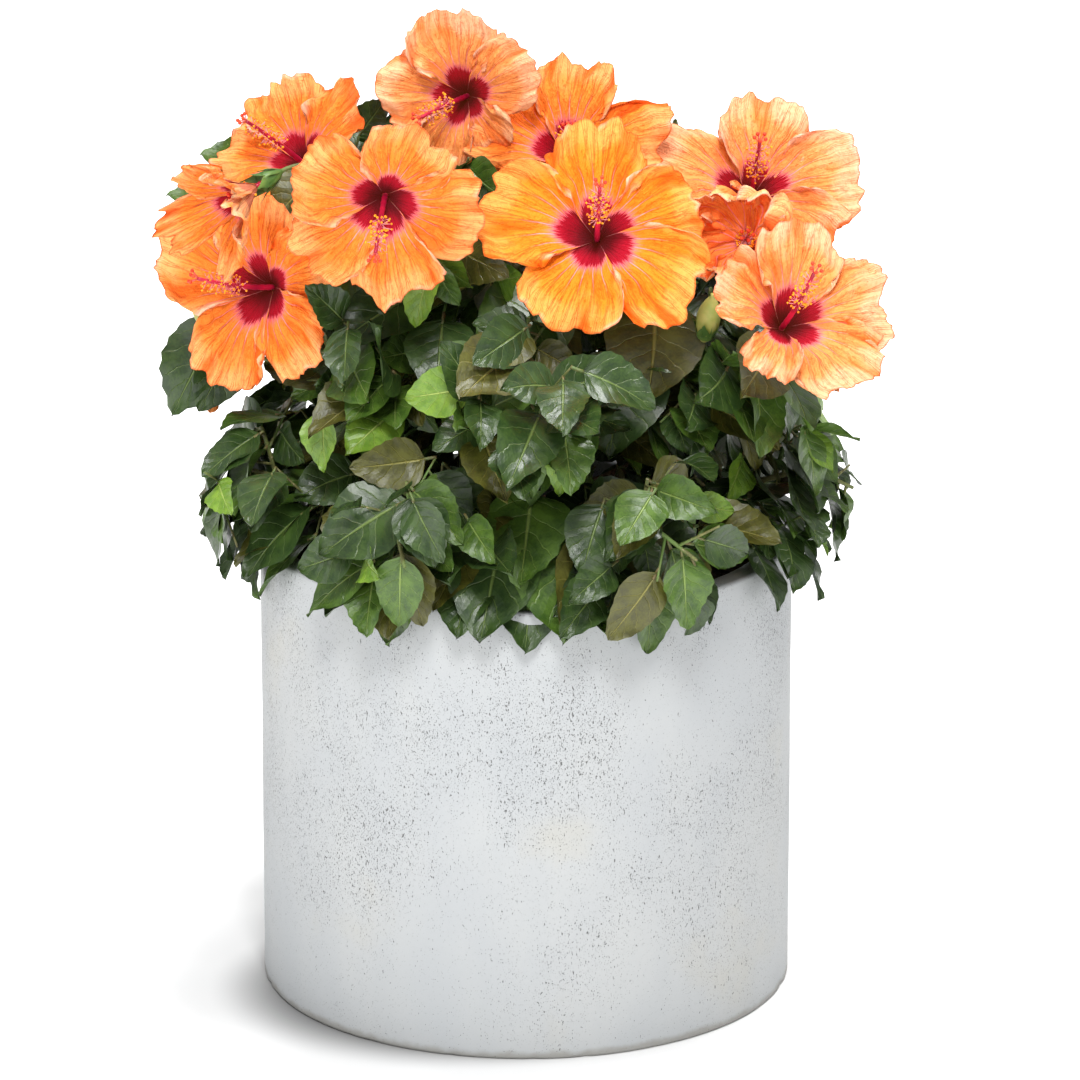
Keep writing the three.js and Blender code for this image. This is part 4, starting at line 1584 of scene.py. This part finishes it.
@dataclass
class Leaves:
    """The toothed leaves, in four tints, each on its own short stalk."""

    growth: Growth
    stalk_share: float = 0.13
    half_width: float = 0.345
    columns: int = 4
    rows: int = 14
    tint_weights: tuple[int, int, int] = (50, 34, 16)
    young_length: float = 56.0
    young_share: float = 0.16
    forms: tuple[LeafForm, ...] = (
        LeafForm(0.22, 0.12, 0.10, 0.030, 0.016, 1.00, 0.05, 1.0),
        LeafForm(0.34, 0.20, -0.20, 0.040, 0.030, 0.84, 0.0, 5.0),
        LeafForm(0.12, 0.26, 0.24, 0.036, 0.012, 1.10, 0.12, 9.0),
        LeafForm(0.28, 0.08, -0.08, 0.048, 0.036, 0.92, 0.03, 13.0),
        LeafForm(0.08, 0.17, 0.34, 0.030, 0.018, 0.96, 0.08, 17.0),
        LeafForm(0.42, 0.14, 0.05, 0.044, 0.026, 0.80, 0.0, 21.0),
    )

    def _blade(self, form: LeafForm, side: int) -> bpy.types.Mesh:
        """A leaf of unit length along Y, or its mirror image: an oval, pointed, toothed blade past its stalk.

        Args:
            form: How the leaf is shaped.
            side: 1, or -1 for the mirror image.

        Returns:
            The mesh.
        """

        def build(bm: bmesh.types.BMesh) -> None:
            """Bends a grid into the blade.

            Args:
                bm: The bmesh to fill.
            """
            bm.loops.layers.uv.new(BAKE_MAP)
            bmesh.ops.create_grid(bm, x_segments=self.columns, y_segments=self.rows, size=1.0, calc_uvs=True)
            for vert in bm.verts:
                u, v = vert.co.x, (vert.co.y + 1) / 2
                row = round(v * self.rows)
                outline = math.sin(math.pi * v**0.66) ** 0.8 if 0 < v < 1 else 0.0
                tooth = form.teeth * (1.0 if row % 2 else -0.6) * (abs(u) > 0.99) * smooth(0.08, 0.3, v)
                half = self.half_width * form.breadth * (outline + tooth)
                forward = form.teeth * 0.6 * (row % 2) * (abs(u) > 0.99)
                twist = form.twist * (v - 0.4)
                x = u * half
                z = abs(x) * form.fold + form.wave * math.sin(v * 9 + form.seed + u * 2) * abs(u)
                z -= form.arch * v * v * (1 - 0.2 * abs(u)) - 0.02 * v
                along = (v + forward * 0.6) * (1 - form.arch * 0.25 * v)
                y = self.stalk_share + (1 - self.stalk_share) * along
                y -= form.heart * abs(u) ** 1.5 * (1 - v) ** 3
                across = x * math.cos(twist) - z * math.sin(twist)
                vert.co = (side * across, y, x * math.sin(twist) + z * math.cos(twist))
            bmesh.ops.remove_doubles(bm, verts=bm.verts, dist=1e-5)
            if side < 0:
                bmesh.ops.reverse_faces(bm, faces=bm.faces)

        return shape(build)

    def build(self) -> None:
        """Makes the four pieces of leaves and the piece of their stalks."""
        chance = random.Random(SEED + 1)
        blades = {side: [self._blade(form, side) for form in self.forms] for side in (-1, 1)}
        reach = self.stalk_share * 1.1
        line = bend(Vector((0, 0, 0)), Vector((0, reach * 0.45, -0.012)), Vector((0, reach, 0)))
        stalk = tube(line, lambda share: 0.014 - 0.003 * share, 5, 3)
        clusters = [Cluster(f"leaves_{tint}") for tint in ("deep", "green", "olive", "young")]
        stalks = Cluster("leaf_stalks")
        for leaf in self.growth.leaves + self.growth.small:
            old = chance.choices((DEEP, GREEN, OLIVE), weights=self.tint_weights)[0]
            young = leaf.length < self.young_length and chance.random() < self.young_share
            side = chance.choice((-1, 1))
            matrix = leaf.matrix()
            clusters[YOUNG if young else old].add(chance.choice(blades[side]), matrix)
            stalks.add(stalk, matrix)
        for leaf, (form, tint, breadth) in self.growth.listed:
            matrix = leaf.matrix()
            clusters[tint].add(blades[1][form], matrix @ Matrix.Diagonal((breadth, 1, 1, 1)))
            stalks.add(stalk, matrix)
        nodes = foliage_nodes(self.growth)
        for cluster, finish in zip(clusters, LEAF_TINTS):
            cluster.piece(finish.material(), nodes, Slot.FOLIAGE)
        stalk_finish = PlainFinish("leaf_stalk", rgb(84, 104, 50), rgb(108, 92, 56))
        stalks.piece(stalk_finish.material(), nodes, Slot.FOLIAGE)
        for mesh in [*blades[-1], *blades[1], stalk]:
            bpy.data.meshes.remove(mesh)


class Spot(NamedTuple):
    """A point of a petal: across it in u, from -1 to 1, and from the throat, 0, to the rim, 1, in v."""

    petal: Petal
    seed: float
    u: float
    v: float


@dataclass
class Corolla:
    """The five crinkled petals of one bloom. Its angles are in degrees."""

    flower: Flower
    number: int
    throat: float = 2.5
    thickness: float = 0.5
    columns: int = 40
    rows: int = 34
    spread: float = 40.0
    widths: tuple[tuple[float, ...], ...] = (
        (0, 0.15, 0.32, 0.5, 0.8, 1), (1.2, 1.17, 1.15, 1.12, 1.15, 1.0)
    )
    strip: float = 0.2
    funnel_share: float = 0.55

    def _petals(self) -> tuple[Petal, ...]:
        """The bloom's petals as listed, or five even ones at a seeded turn.

        Returns:
            The petals.
        """
        if self.flower.petals:
            return self.flower.petals
        chance = random.Random(SEED + self.number)
        first = chance.uniform(0, 72)
        return tuple(
            Petal(
                first + 72 * i + chance.uniform(-5, 5), chance.uniform(0.94, 1.02),
                chance.uniform(0.95, 1.08), chance.uniform(-0.7, 0.9), chance.uniform(0, 5),
            )
            for i in range(5)
        )

    def _outline(self, spot: Spot) -> tuple[float, float]:
        """How far out a petal's point lies, and how wide the petal is there, with its lobes, rags and teeth.

        Args:
            spot: The point.

        Returns:
            The distance from the flower's axis, and half the angle that the petal covers there.
        """
        petal, seed, u, v = spot
        lobe = 1 - 0.12 * abs(u) ** 2.2 - 0.22 * abs(u) ** 6
        ragged = 0.12 * ripple(u * 1.9, seed, 1.0) + 0.085 * ripple(u * 5.4, seed, 4.0) * smooth(0.6, 1, v)
        teeth = 0.028 * ripple(u * 18, seed, 4.0) * smooth(0.88, 1, v)
        reach = self.flower.across / 2 * petal.length * (lobe + ragged + teeth)
        half = self.spread * (1 + (petal.width - 1) * smooth(0.35, 0.6, v))
        half *= between(*self.widths, v)
        own = seed + (3 if u > 0 else 7)
        half += (4.4 * ripple(v * 3.2, own, 2.0) + 3.0 * ripple(v * 9, own, 5.0)) * smooth(0.25, 0.6, v)
        return self.throat + (reach - self.throat) * v, half

    def _rolled(self, spot: Spot, arc: float) -> tuple[float, float]:
        """How a strip along each side of a petal rolls up on one side and down on the other.

        Args:
            spot: The point.
            arc: How wide the strip is while it is flat.

        Returns:
            The point's share across the petal once it is rolled, and its lift.
        """
        _, seed, u, v = spot
        rolled = smooth(0.02, 0.4, ripple(v * 2.4, seed + (21 if u > 0 else 27), 9.0))
        rolled = max(rolled * 1.9 * smooth(0.4, 0.6, v) * smooth(1.04, 0.85, v), 0.01)
        past = max(0.0, abs(u) - 1 + self.strip) / self.strip
        kept = 1 - self.strip + self.strip * math.sin(rolled * past) / rolled
        lift = (1 if u < 0 else -0.7) * arc * (1 - math.cos(rolled * past)) / rolled
        return math.copysign(kept, u) if past else u, lift

    def _folds(self, spot: Spot, side: float) -> tuple[float, float]:
        """How high a petal's point stands in its folds.

        Args:
            spot: The point.
            side: How near it is to the petal's side, from 0 to 1.

        Returns:
            The height in the pleats, ruffles and frills, and the height in the broad swells.
        """
        petal, seed, u, v = spot
        rim = smooth(0.62, 1.0, v)
        pleats = 4.4 * ripple(u * 3.4 + v * 0.6, v * 0.7, seed + 2.0)
        pleats += 2.1 * ripple(u * 8.5, v * 1.1, seed + 5.0)
        ruffle = 6.4 * rim * ripple(u * 4.4, v * 1.2, seed + 8.0)
        ruffle += 2.8 * rim * ripple(u * 9.5, v * 2, seed + 13.0)
        over = max(0.0, 0.55 - 0.45 * u + 0.5 * petal.over)
        frill = side * (0.5 + over) * (5.4 * ripple(v * 5.6, seed + (1 if u > 0 else 4), 15.0) + 1.4 * over)
        crinkle = 1.1 * smooth(0.3, 0.6, v) * ripple(u * 14, v * 9, seed + 5)
        swells = 8.0 * smooth(0.35, 1, v) * ripple(u * 1.5, v * 1.2 + seed, 6.0)
        level = smooth(0.12, 0.6, v) * (2.6 * petal.over - 2.4 * u) - 0.5 * u
        return pleats * smooth(0.2, 0.6, v) + ruffle + frill + crinkle, swells + level

    def _crumpled(self, spot: Spot, turn: float) -> tuple[Vector, Colour]:
        """Where a faded petal's point goes: curled in over the throat and crumpled.

        Args:
            spot: The point.
            turn: Its direction from the throat while the petal was still flat, in radians.

        Returns:
            The same as _place.
        """
        petal, seed, u, v = spot
        flower = self.flower
        folds = 0.46 * ripple(u * 2.6, v * 1.6, seed + 21) + 0.24 * ripple(u * 6.5, v * 3.0, seed + 25)
        off = flower.across / 2 * (0.12 + 0.84 * math.sin(math.pi * 0.62 * v)) * (1 + folds - 0.12 * u)
        turn += 0.5 * v + 0.3 * ripple(v * 3, u * 2, seed + 31)
        height = (26 + 9 * petal.over) * v - flower.depth
        height += 13 * smooth(0.4, 1, v) * ripple(u * 3, v, seed + 41)
        height += 8 * smooth(0.3, 0.8, v) * ripple(u * 7, v * 3, seed + 45)
        # Painted shade and light: the fold shade is low where the crumples sink and high where they swell.
        fold_shade = min(max(0.5 + folds * 1.1, 0.0), 1.0)
        return polar(off, turn, height), (fold_shade, smooth(0.9, 1, v), 0.0, 1.0)

    def _place(self, spot: Spot) -> tuple[Vector, Colour]:
        """Where a petal's point goes.

        Args:
            spot: The point.

        Returns:
            The place in the flower's own frame, and two values from 0 to 1 for its painted shade and light:
            the fold shade, low in hollows and curls and high on ridges, and the pale edge, where an edge
            stands up.
        """
        petal, seed, u, v = spot
        flower = self.flower
        radius = flower.across / 2
        side = smooth(0.55, 1.0, abs(u)) * smooth(0.26, 0.5, v)
        off, half = self._outline(spot)
        across, lift = self._rolled(spot, self.strip * math.radians(half) * off)
        turn = math.radians(petal.turn - across * half)
        if flower.tint is Tint.FADED:
            return self._crumpled(spot, turn)
        folds, swells = self._folds(spot, side)
        curl = (4.0 + petal.curl) * smooth(0.76, 1.04, v) * (0.45 + 1.5 * ripple(u * 1.7, seed, 12.0))
        funnel = max(0.0, 1 - off / (self.funnel_share * radius))
        bowl = -flower.depth * funnel**1.6 + flower.cup * (off / radius) ** 2.2
        # Painted shade and light: the fold shade is low in hollows and curls and high on ridges; the pale
        # edge grows where a side edge or the rim stands up, partly as a painted highlight.
        fold_shade = min(max(0.5 + folds / 11 - curl / 30, 0.0), 1.0)
        edge = max(side * smooth(0.85, 1, abs(u)), smooth(0.93, 1, v))
        pale_edge_and_highlight = min(max(edge * (folds - curl) / 3.5, 0.0), 1.0)
        return polar(off, turn, bowl + folds + swells + lift - curl), (fold_shade, pale_edge_and_highlight, 0.0, 1.0)

    def _petal(self, petal: Petal, number: int) -> bpy.types.Mesh:
        """One petal, with its own map, its cell of the bloom's map, and its painted fold shade and pale
        edges.

        Args:
            petal: How it differs.
            number: Its number in the bloom.

        Returns:
            The mesh.
        """

        def build(bm: bmesh.types.BMesh) -> None:
            """Bends a grid into the petal.

            Args:
                bm: The bmesh to fill.
            """
            bm.loops.layers.uv.new("petal")
            bmesh.ops.create_grid(bm, x_segments=self.columns, y_segments=self.rows, size=1.0, calc_uvs=True)
            cells = bm.loops.layers.uv.new(BAKE_MAP)
            folds = bm.verts.layers.float_color.new("folds")
            own = bm.loops.layers.uv["petal"]
            seed = self.number * 7.3 + number * 2.1
            for vert in bm.verts:
                vert.co, vert[folds] = self._place(Spot(petal, seed, vert.co.x, (vert.co.y + 1) / 2))
            front = list(bm.faces)
            made = bmesh.ops.solidify(bm, geom=front, thickness=self.thickness)["geom"]
            back = {g for g in made if isinstance(g, bmesh.types.BMFace)} - set(front)
            for vert in {v for face in back for v in face.verts} - {v for face in front for v in face.verts}:
                fold_shade, pale_edge_and_highlight, _, _ = vert[folds]
                vert[folds] = (fold_shade, pale_edge_and_highlight, 1.0, 1.0)
            for face in bm.faces:
                cell = number + (5 if face in back else 0)
                for loop in face.loops:
                    x, y = loop[own].uv
                    loop[cells].uv = ((cell % 4 + 0.02 + 0.96 * x) / 4, (cell // 4 + 0.02 + 0.96 * y) / 3)
            bmesh.ops.recalc_face_normals(bm, faces=bm.faces)

        return shape(build)

    def build(self, finish: bpy.types.Material, nodes: Iterable[str]) -> None:
        """Makes the bloom's petals as one piece.

        Args:
            finish: The petals' material.
            nodes: The frame's nodes that it stands for.
        """
        cluster = Cluster(f"petals_{self.number + 1:02d}")
        for i, petal in enumerate(self._petals()):
            cluster.take(self._petal(petal, i))
        cluster.bm.transform(self.flower.matrix())
        cluster.piece(finish, nodes, None)


@dataclass
class FlowerParts:
    """What stands in and behind the petals: columns, anthers, stigmas, cups, bracts and buds."""

    growth: Growth
    anthers: int = 76
    stigmas: int = 5
    pad_radius: float = 1.5
    root_depth: float = 4.0
    stalk_radius: float = 1.8
    cup_radius: float = 7.8
    bud_length: float = 42.0
    sepals: int = 5
    bracts: int = 8

    def _column_line(self, flower: Flower) -> Line:
        """The column's line, out of the throat and on towards its own heading.

        Args:
            flower: The bloom.

        Returns:
            The line.
        """
        axis = flower.shown_axis
        throat = flower.eye + Vector(flower.drift) - axis * (flower.depth + self.root_depth)
        length = (COLUMN_LENGTH + flower.depth - THROAT_DEPTH) * flower.column_share
        middle = throat + axis * length / 2
        return bend(throat, middle, middle + heading(*flower.column) * length / 2)

    def _dust(self, flower: Flower, line: Line, number: int) -> None:
        """Sets the anthers on their filaments round the upper half of the column, and the stigmas at its tip.

        Args:
            flower: The bloom.
            line: Its column.
            number: Its number.
        """
        chance = random.Random(SEED + 40 + number)
        for i in range(self.anthers):
            share = 0.50 + 0.42 * (i + chance.random()) / self.anthers
            onward = line.tangent(share)
            out = square_to(onward, i * GOLDEN_ANGLE) + onward * chance.uniform(-0.1, 0.75)
            out.normalize()
            start = line.at(share)
            length = chance.uniform(4.6, 9.4)
            self.filaments.add(self.filament, pointed(start, out, length))
            self.pollen.add(self.grain, pointed(start + out * length, out, chance.uniform(0.8, 1.15)))
        onward = line.tangent(1.0)
        for i in range(self.stigmas):
            out = (square_to(onward, i * 72 + number * 20) * 0.75 + onward).normalized()
            start = line.at(0.985)
            length = chance.uniform(6.0, 8.0)
            self.styles.add(self.filament, pointed(start, out, length) @ Matrix.Diagonal((2.2, 2.2, 1, 1)))
            self.pads.add(self.pad, pointed(start + out * length, out, self.pad_radius))

    def _bract(self, length: float, width: float, bow: float, flare: float) -> bpy.types.Mesh:
        """A narrow pointed green scale along Z that bows out along X, and flares towards its tip.

        Args:
            length: How long it is.
            width: How wide it is.
            bow: How far its middle stands out.
            flare: How far its tip does.

        Returns:
            The mesh.
        """

        def build(bm: bmesh.types.BMesh) -> None:
            """Bends a grid into the scale, a single sheet.

            Args:
                bm: The bmesh to fill.
            """
            bmesh.ops.create_grid(bm, x_segments=2, y_segments=7, size=1.0)
            for vert in bm.verts:
                u, v = vert.co.x, (vert.co.y + 1) / 2
                half = width / 2 * (1 - v) ** 0.7 * (0.7 + 0.6 * math.sin(math.pi * min(v * 1.4, 1)))
                out = bow * math.sin(math.pi * v * 0.62) + flare * v**1.6
                vert.co = (out - abs(u) * half * 0.25, u * half, length * v)
            bmesh.ops.remove_doubles(bm, verts=bm.verts, dist=1e-4)

        return shape(build)

    def _scales(self, flower: Flower, sepal_shift: Matrix) -> None:
        """Sets the sepals round a flower's foot, and the ring of bracts under them.

        Args:
            flower: The bloom or bud.
            sepal_shift: Where a sepal is before it is turned round the stalk.
        """
        base = flower.matrix()
        base.translation = flower.shown_base
        bract_shift = Matrix.Translation((2.4, 0, -2))
        rings = ((self.sepal, self.sepals, 20, sepal_shift), (self.bract, self.bracts, 0, bract_shift))
        for scale, count, first, shift in rings:
            for i in range(count):
                turn = Matrix.Rotation(math.radians(first + i * 360 / count), 4, "Z")
                self.cups.add(scale, base @ turn @ shift)

    def _cup(self, flower: Flower) -> None:
        """Sets a bloom's green cup with its points and bracts.

        Args:
            flower: The bloom.
        """
        base, axis = flower.shown_base, flower.shown_axis
        swell = Line((base - axis * 3, base + axis * 15))
        wide = self.cup_radius - self.stalk_radius
        self.cups.take(tube(swell, lambda s: self.stalk_radius + wide * math.sin(min(s * 1.5, 1.45)), 20, 10))
        self._scales(flower, Matrix.Translation((6.4, 0, 9)))

    def _bud(self, flower: Flower) -> None:
        """Sets a bud: a wrapped yellow-green tip in a cup of dark bracts.

        Args:
            flower: The bud.
        """

        def radius(share: float) -> float:
            """The bud's radius at a share of its length."""
            return 1.7 + (BUD_RADIUS - 1.7) * math.sin(min(share * 1.06, 1.0) * math.pi) ** 0.8

        line = Line((flower.base - flower.axis * 3, flower.base + flower.axis * self.bud_length))
        self.buds.take(tube(line, radius, 20, 20))
        self._scales(flower, Matrix.Translation((6.0, 0, 2)) @ Matrix.Scale(1.15, 4))

    def build(self) -> None:
        """Makes the parts of all the flowers, each kind joined."""
        upright = Line((Vector((0, 0, 0)), Vector((0, 0, 1))))
        self.filament = tube(upright, lambda s: 0.036, 3, 1)
        self.grain = shape(lambda bm: bmesh.ops.create_icosphere(bm, subdivisions=1, radius=1.0))
        self.pad = shape(lambda bm: bmesh.ops.create_icosphere(bm, subdivisions=2, radius=1.0))
        self.sepal = self._bract(19.0, 9.0, 1.0, 6.5)
        self.bract = self._bract(20.0, 3.4, 7.0, 0.0)
        kinds = ("columns", "filaments", "pollen", "styles", "pads", "cups", "buds")
        for kind in kinds:
            setattr(self, kind, Cluster({"cups": "calyces", "pads": "stigmas"}.get(kind, kind)))
        for number, flower in enumerate(self.growth.flowers):
            if flower.across:
                line = self._column_line(flower)
                self.columns.take(tube(line, lambda s: 2.3 - 1.0 * s + 0.15 * math.sin(s * 60), 14, 40))
                self._dust(flower, line, number)
                self._cup(flower)
            else:
                self._bud(flower)
        finishes = (
            PlainFinish("column_red", rgb(196, 26, 62), rgb(150, 8, 48), 0.4, 60.0),
            PlainFinish("filament_pink", rgb(244, 166, 164), rgb(232, 120, 136), 0.5),
            PlainFinish("pollen_yellow", rgb(248, 170, 24), rgb(232, 122, 12), 0.8, 400.0),
            PlainFinish("style_red", rgb(236, 120, 104), rgb(220, 80, 76), 0.5),
            PlainFinish("stigma_red", rgb(214, 40, 24), rgb(240, 84, 36), 0.7, 900.0),
            PlainFinish("calyx_green", rgb(70, 104, 42), rgb(104, 132, 58), 0.45, 90.0),
            PlainFinish("bud_green", rgb(150, 162, 72), rgb(186, 178, 96), 0.5, 70.0),
        )
        for kind, finish in zip(kinds, finishes):
            slot = Slot.FOLIAGE if kind in ("cups", "buds") else None
            getattr(self, kind).piece(finish.material(), foliage_nodes(self.growth), slot)
        for mesh in (self.filament, self.grain, self.pad, self.sepal, self.bract):
            bpy.data.meshes.remove(mesh)


@dataclass
class Blooms:
    """The petals of all the blooms."""

    growth: Growth

    def build(self) -> None:
        """Makes each bloom's petals in its tint."""
        finishes = {
            Tint.PEACH: PetalFinish("petal_peach", rgb(255, 188, 142), rgb(255, 158, 86), rgb(250, 112, 30),
                                    rgb(232, 92, 44)),
            Tint.ORANGE: PetalFinish("petal_orange", rgb(255, 170, 100), rgb(255, 140, 50), rgb(248, 92, 12),
                                     rgb(224, 76, 32)),
            Tint.GOLDEN: PetalFinish("petal_golden", rgb(255, 166, 80), rgb(255, 138, 30), rgb(248, 96, 6),
                                     rgb(226, 80, 26)),
            # The faded bloom has a stronger painted glow, which lifts the shade inside its crumpled cup.
            Tint.FADED: PetalFinish("petal_faded", rgb(255, 190, 124), rgb(255, 150, 72), rgb(246, 92, 36),
                                    rgb(226, 66, 40), back=rgb(255, 180, 120), eye_share=0.06,
                                    halo_share=0.2, glow=0.14),
        }
        materials = {tint: finish.material() for tint, finish in finishes.items()}
        for number, flower in enumerate(BLOOMS):
            Corolla(flower, number).build(materials[flower.tint], foliage_nodes(self.growth))


@dataclass
class Studio:
    """The pale floor, the soft lights and the camera at the photograph's angle."""

    distance: float = 6.0
    pitch: float = 18.0
    sensor: float = 36.0
    focus: float = 7967 / 1080 * 36.0
    target: Vector = field(default_factory=lambda: Vector((0.0105, 0.0, 0.341)))
    lit: Vector = field(default_factory=lambda: Vector((0.0, 0.0, 0.45)))
    sky: float = 0.55

    def _light(self, name: str, place: tuple[float, float, float], size: float, power: float) -> None:
        """Adds a square area light that looks at the shrub.

        Args:
            name: Its name.
            place: Where it is, in metres.
            size: The length of its side.
            power: Its power, in watts.
        """
        lamp = bpy.data.lights.new(name, "AREA")
        lamp.size = size
        lamp.energy = power
        made = bpy.data.objects.new(name, lamp)
        made.location = place
        made.rotation_euler = (self.lit - Vector(place)).to_track_quat("-Z", "Y").to_euler()
        bpy.context.scene.collection.objects.link(made)

    def _floor(self) -> None:
        """Lays a white floor that glows far from the pot and has a painted shadow at the pot's left foot."""
        mesh = shape(lambda bm: bmesh.ops.create_grid(bm, x_segments=1, y_segments=1, size=20.0))
        floor = bpy.data.objects.new("floor", mesh)
        bpy.context.scene.collection.objects.link(floor)
        paint = Paint("floor_white")
        x, y, _ = paint.split(paint.place())
        left, front = x + 0.045, (y + 0.05) * 1.15
        away = left * left + front * front
        # Painted shadow: the floor's colour darkens to grey round the pot's left front foot, standing in for
        # the shadow there.
        white = paint.mix(paint.step(away, 0.016, 0.04), rgb(118, 118, 118), rgb(232, 232, 232))
        white = paint.mix(paint.step(away, 0.035, 0.075), white, rgb(252, 252, 252))
        far = paint.step(x * x + y * y, 0.25, 2.0)
        glow = paint.mix(far, rgb(0, 0, 0), rgb(255, 255, 255))
        mesh.materials.append(
            paint.finish(Base_Color=white, Roughness=0.9, Emission_Color=glow, Emission_Strength=0.6)
        )

    def _world(self) -> None:
        """Makes the even white light from all round."""
        world = bpy.data.worlds.new("studio")
        world.use_nodes = True
        background = world.node_tree.nodes["Background"]
        background.inputs["Color"].default_value = (1.0, 1.0, 1.0, 1.0)
        background.inputs["Strength"].default_value = self.sky
        bpy.context.scene.world = world

    def _camera(self) -> None:
        """Sets the camera where the photograph was taken from."""
        camera = bpy.data.cameras.new("camera")
        camera.sensor_width = self.sensor
        camera.lens = self.focus
        camera.clip_end = 100.0
        made = bpy.data.objects.new("camera", camera)
        out = heading(0.0, self.pitch)
        made.location = self.target + out * self.distance
        made.rotation_euler = (-out).to_track_quat("-Z", "Y").to_euler()
        bpy.context.scene.collection.objects.link(made)
        bpy.context.scene.camera = made

    def build(self) -> None:
        """Makes the floor, the world, the lights and the camera."""
        bpy.context.scene.view_settings.view_transform = "Standard"
        self._floor()
        self._world()
        self._light("key", (-0.1, -4.4, 6.0), 1.9, 388.0)
        self._light("fill", (-3.8, -4.2, 1.8), 3.0, 60.0)
        self._light("top", (0.75, 0.3, 6.4), 1.5, 320.0)
        self._camera()


def main() -> None:
    """Builds every part of the scene in order."""
    logging.basicConfig(level=logging.INFO, format="%(message)s")
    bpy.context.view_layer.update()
    Studio().build()
    Pot().build()
    growth = Growth()
    growth.grow()
    counts = len(growth.leaves), len(growth.small), len(growth.shoots)
    log.info("leaves: %d large, %d small, shoots %d", *counts)
    Wood(growth).build()
    Leaves(growth).build()
    Blooms(growth).build()
    FlowerParts(growth).build()


if __name__ == "__main__":
    main()
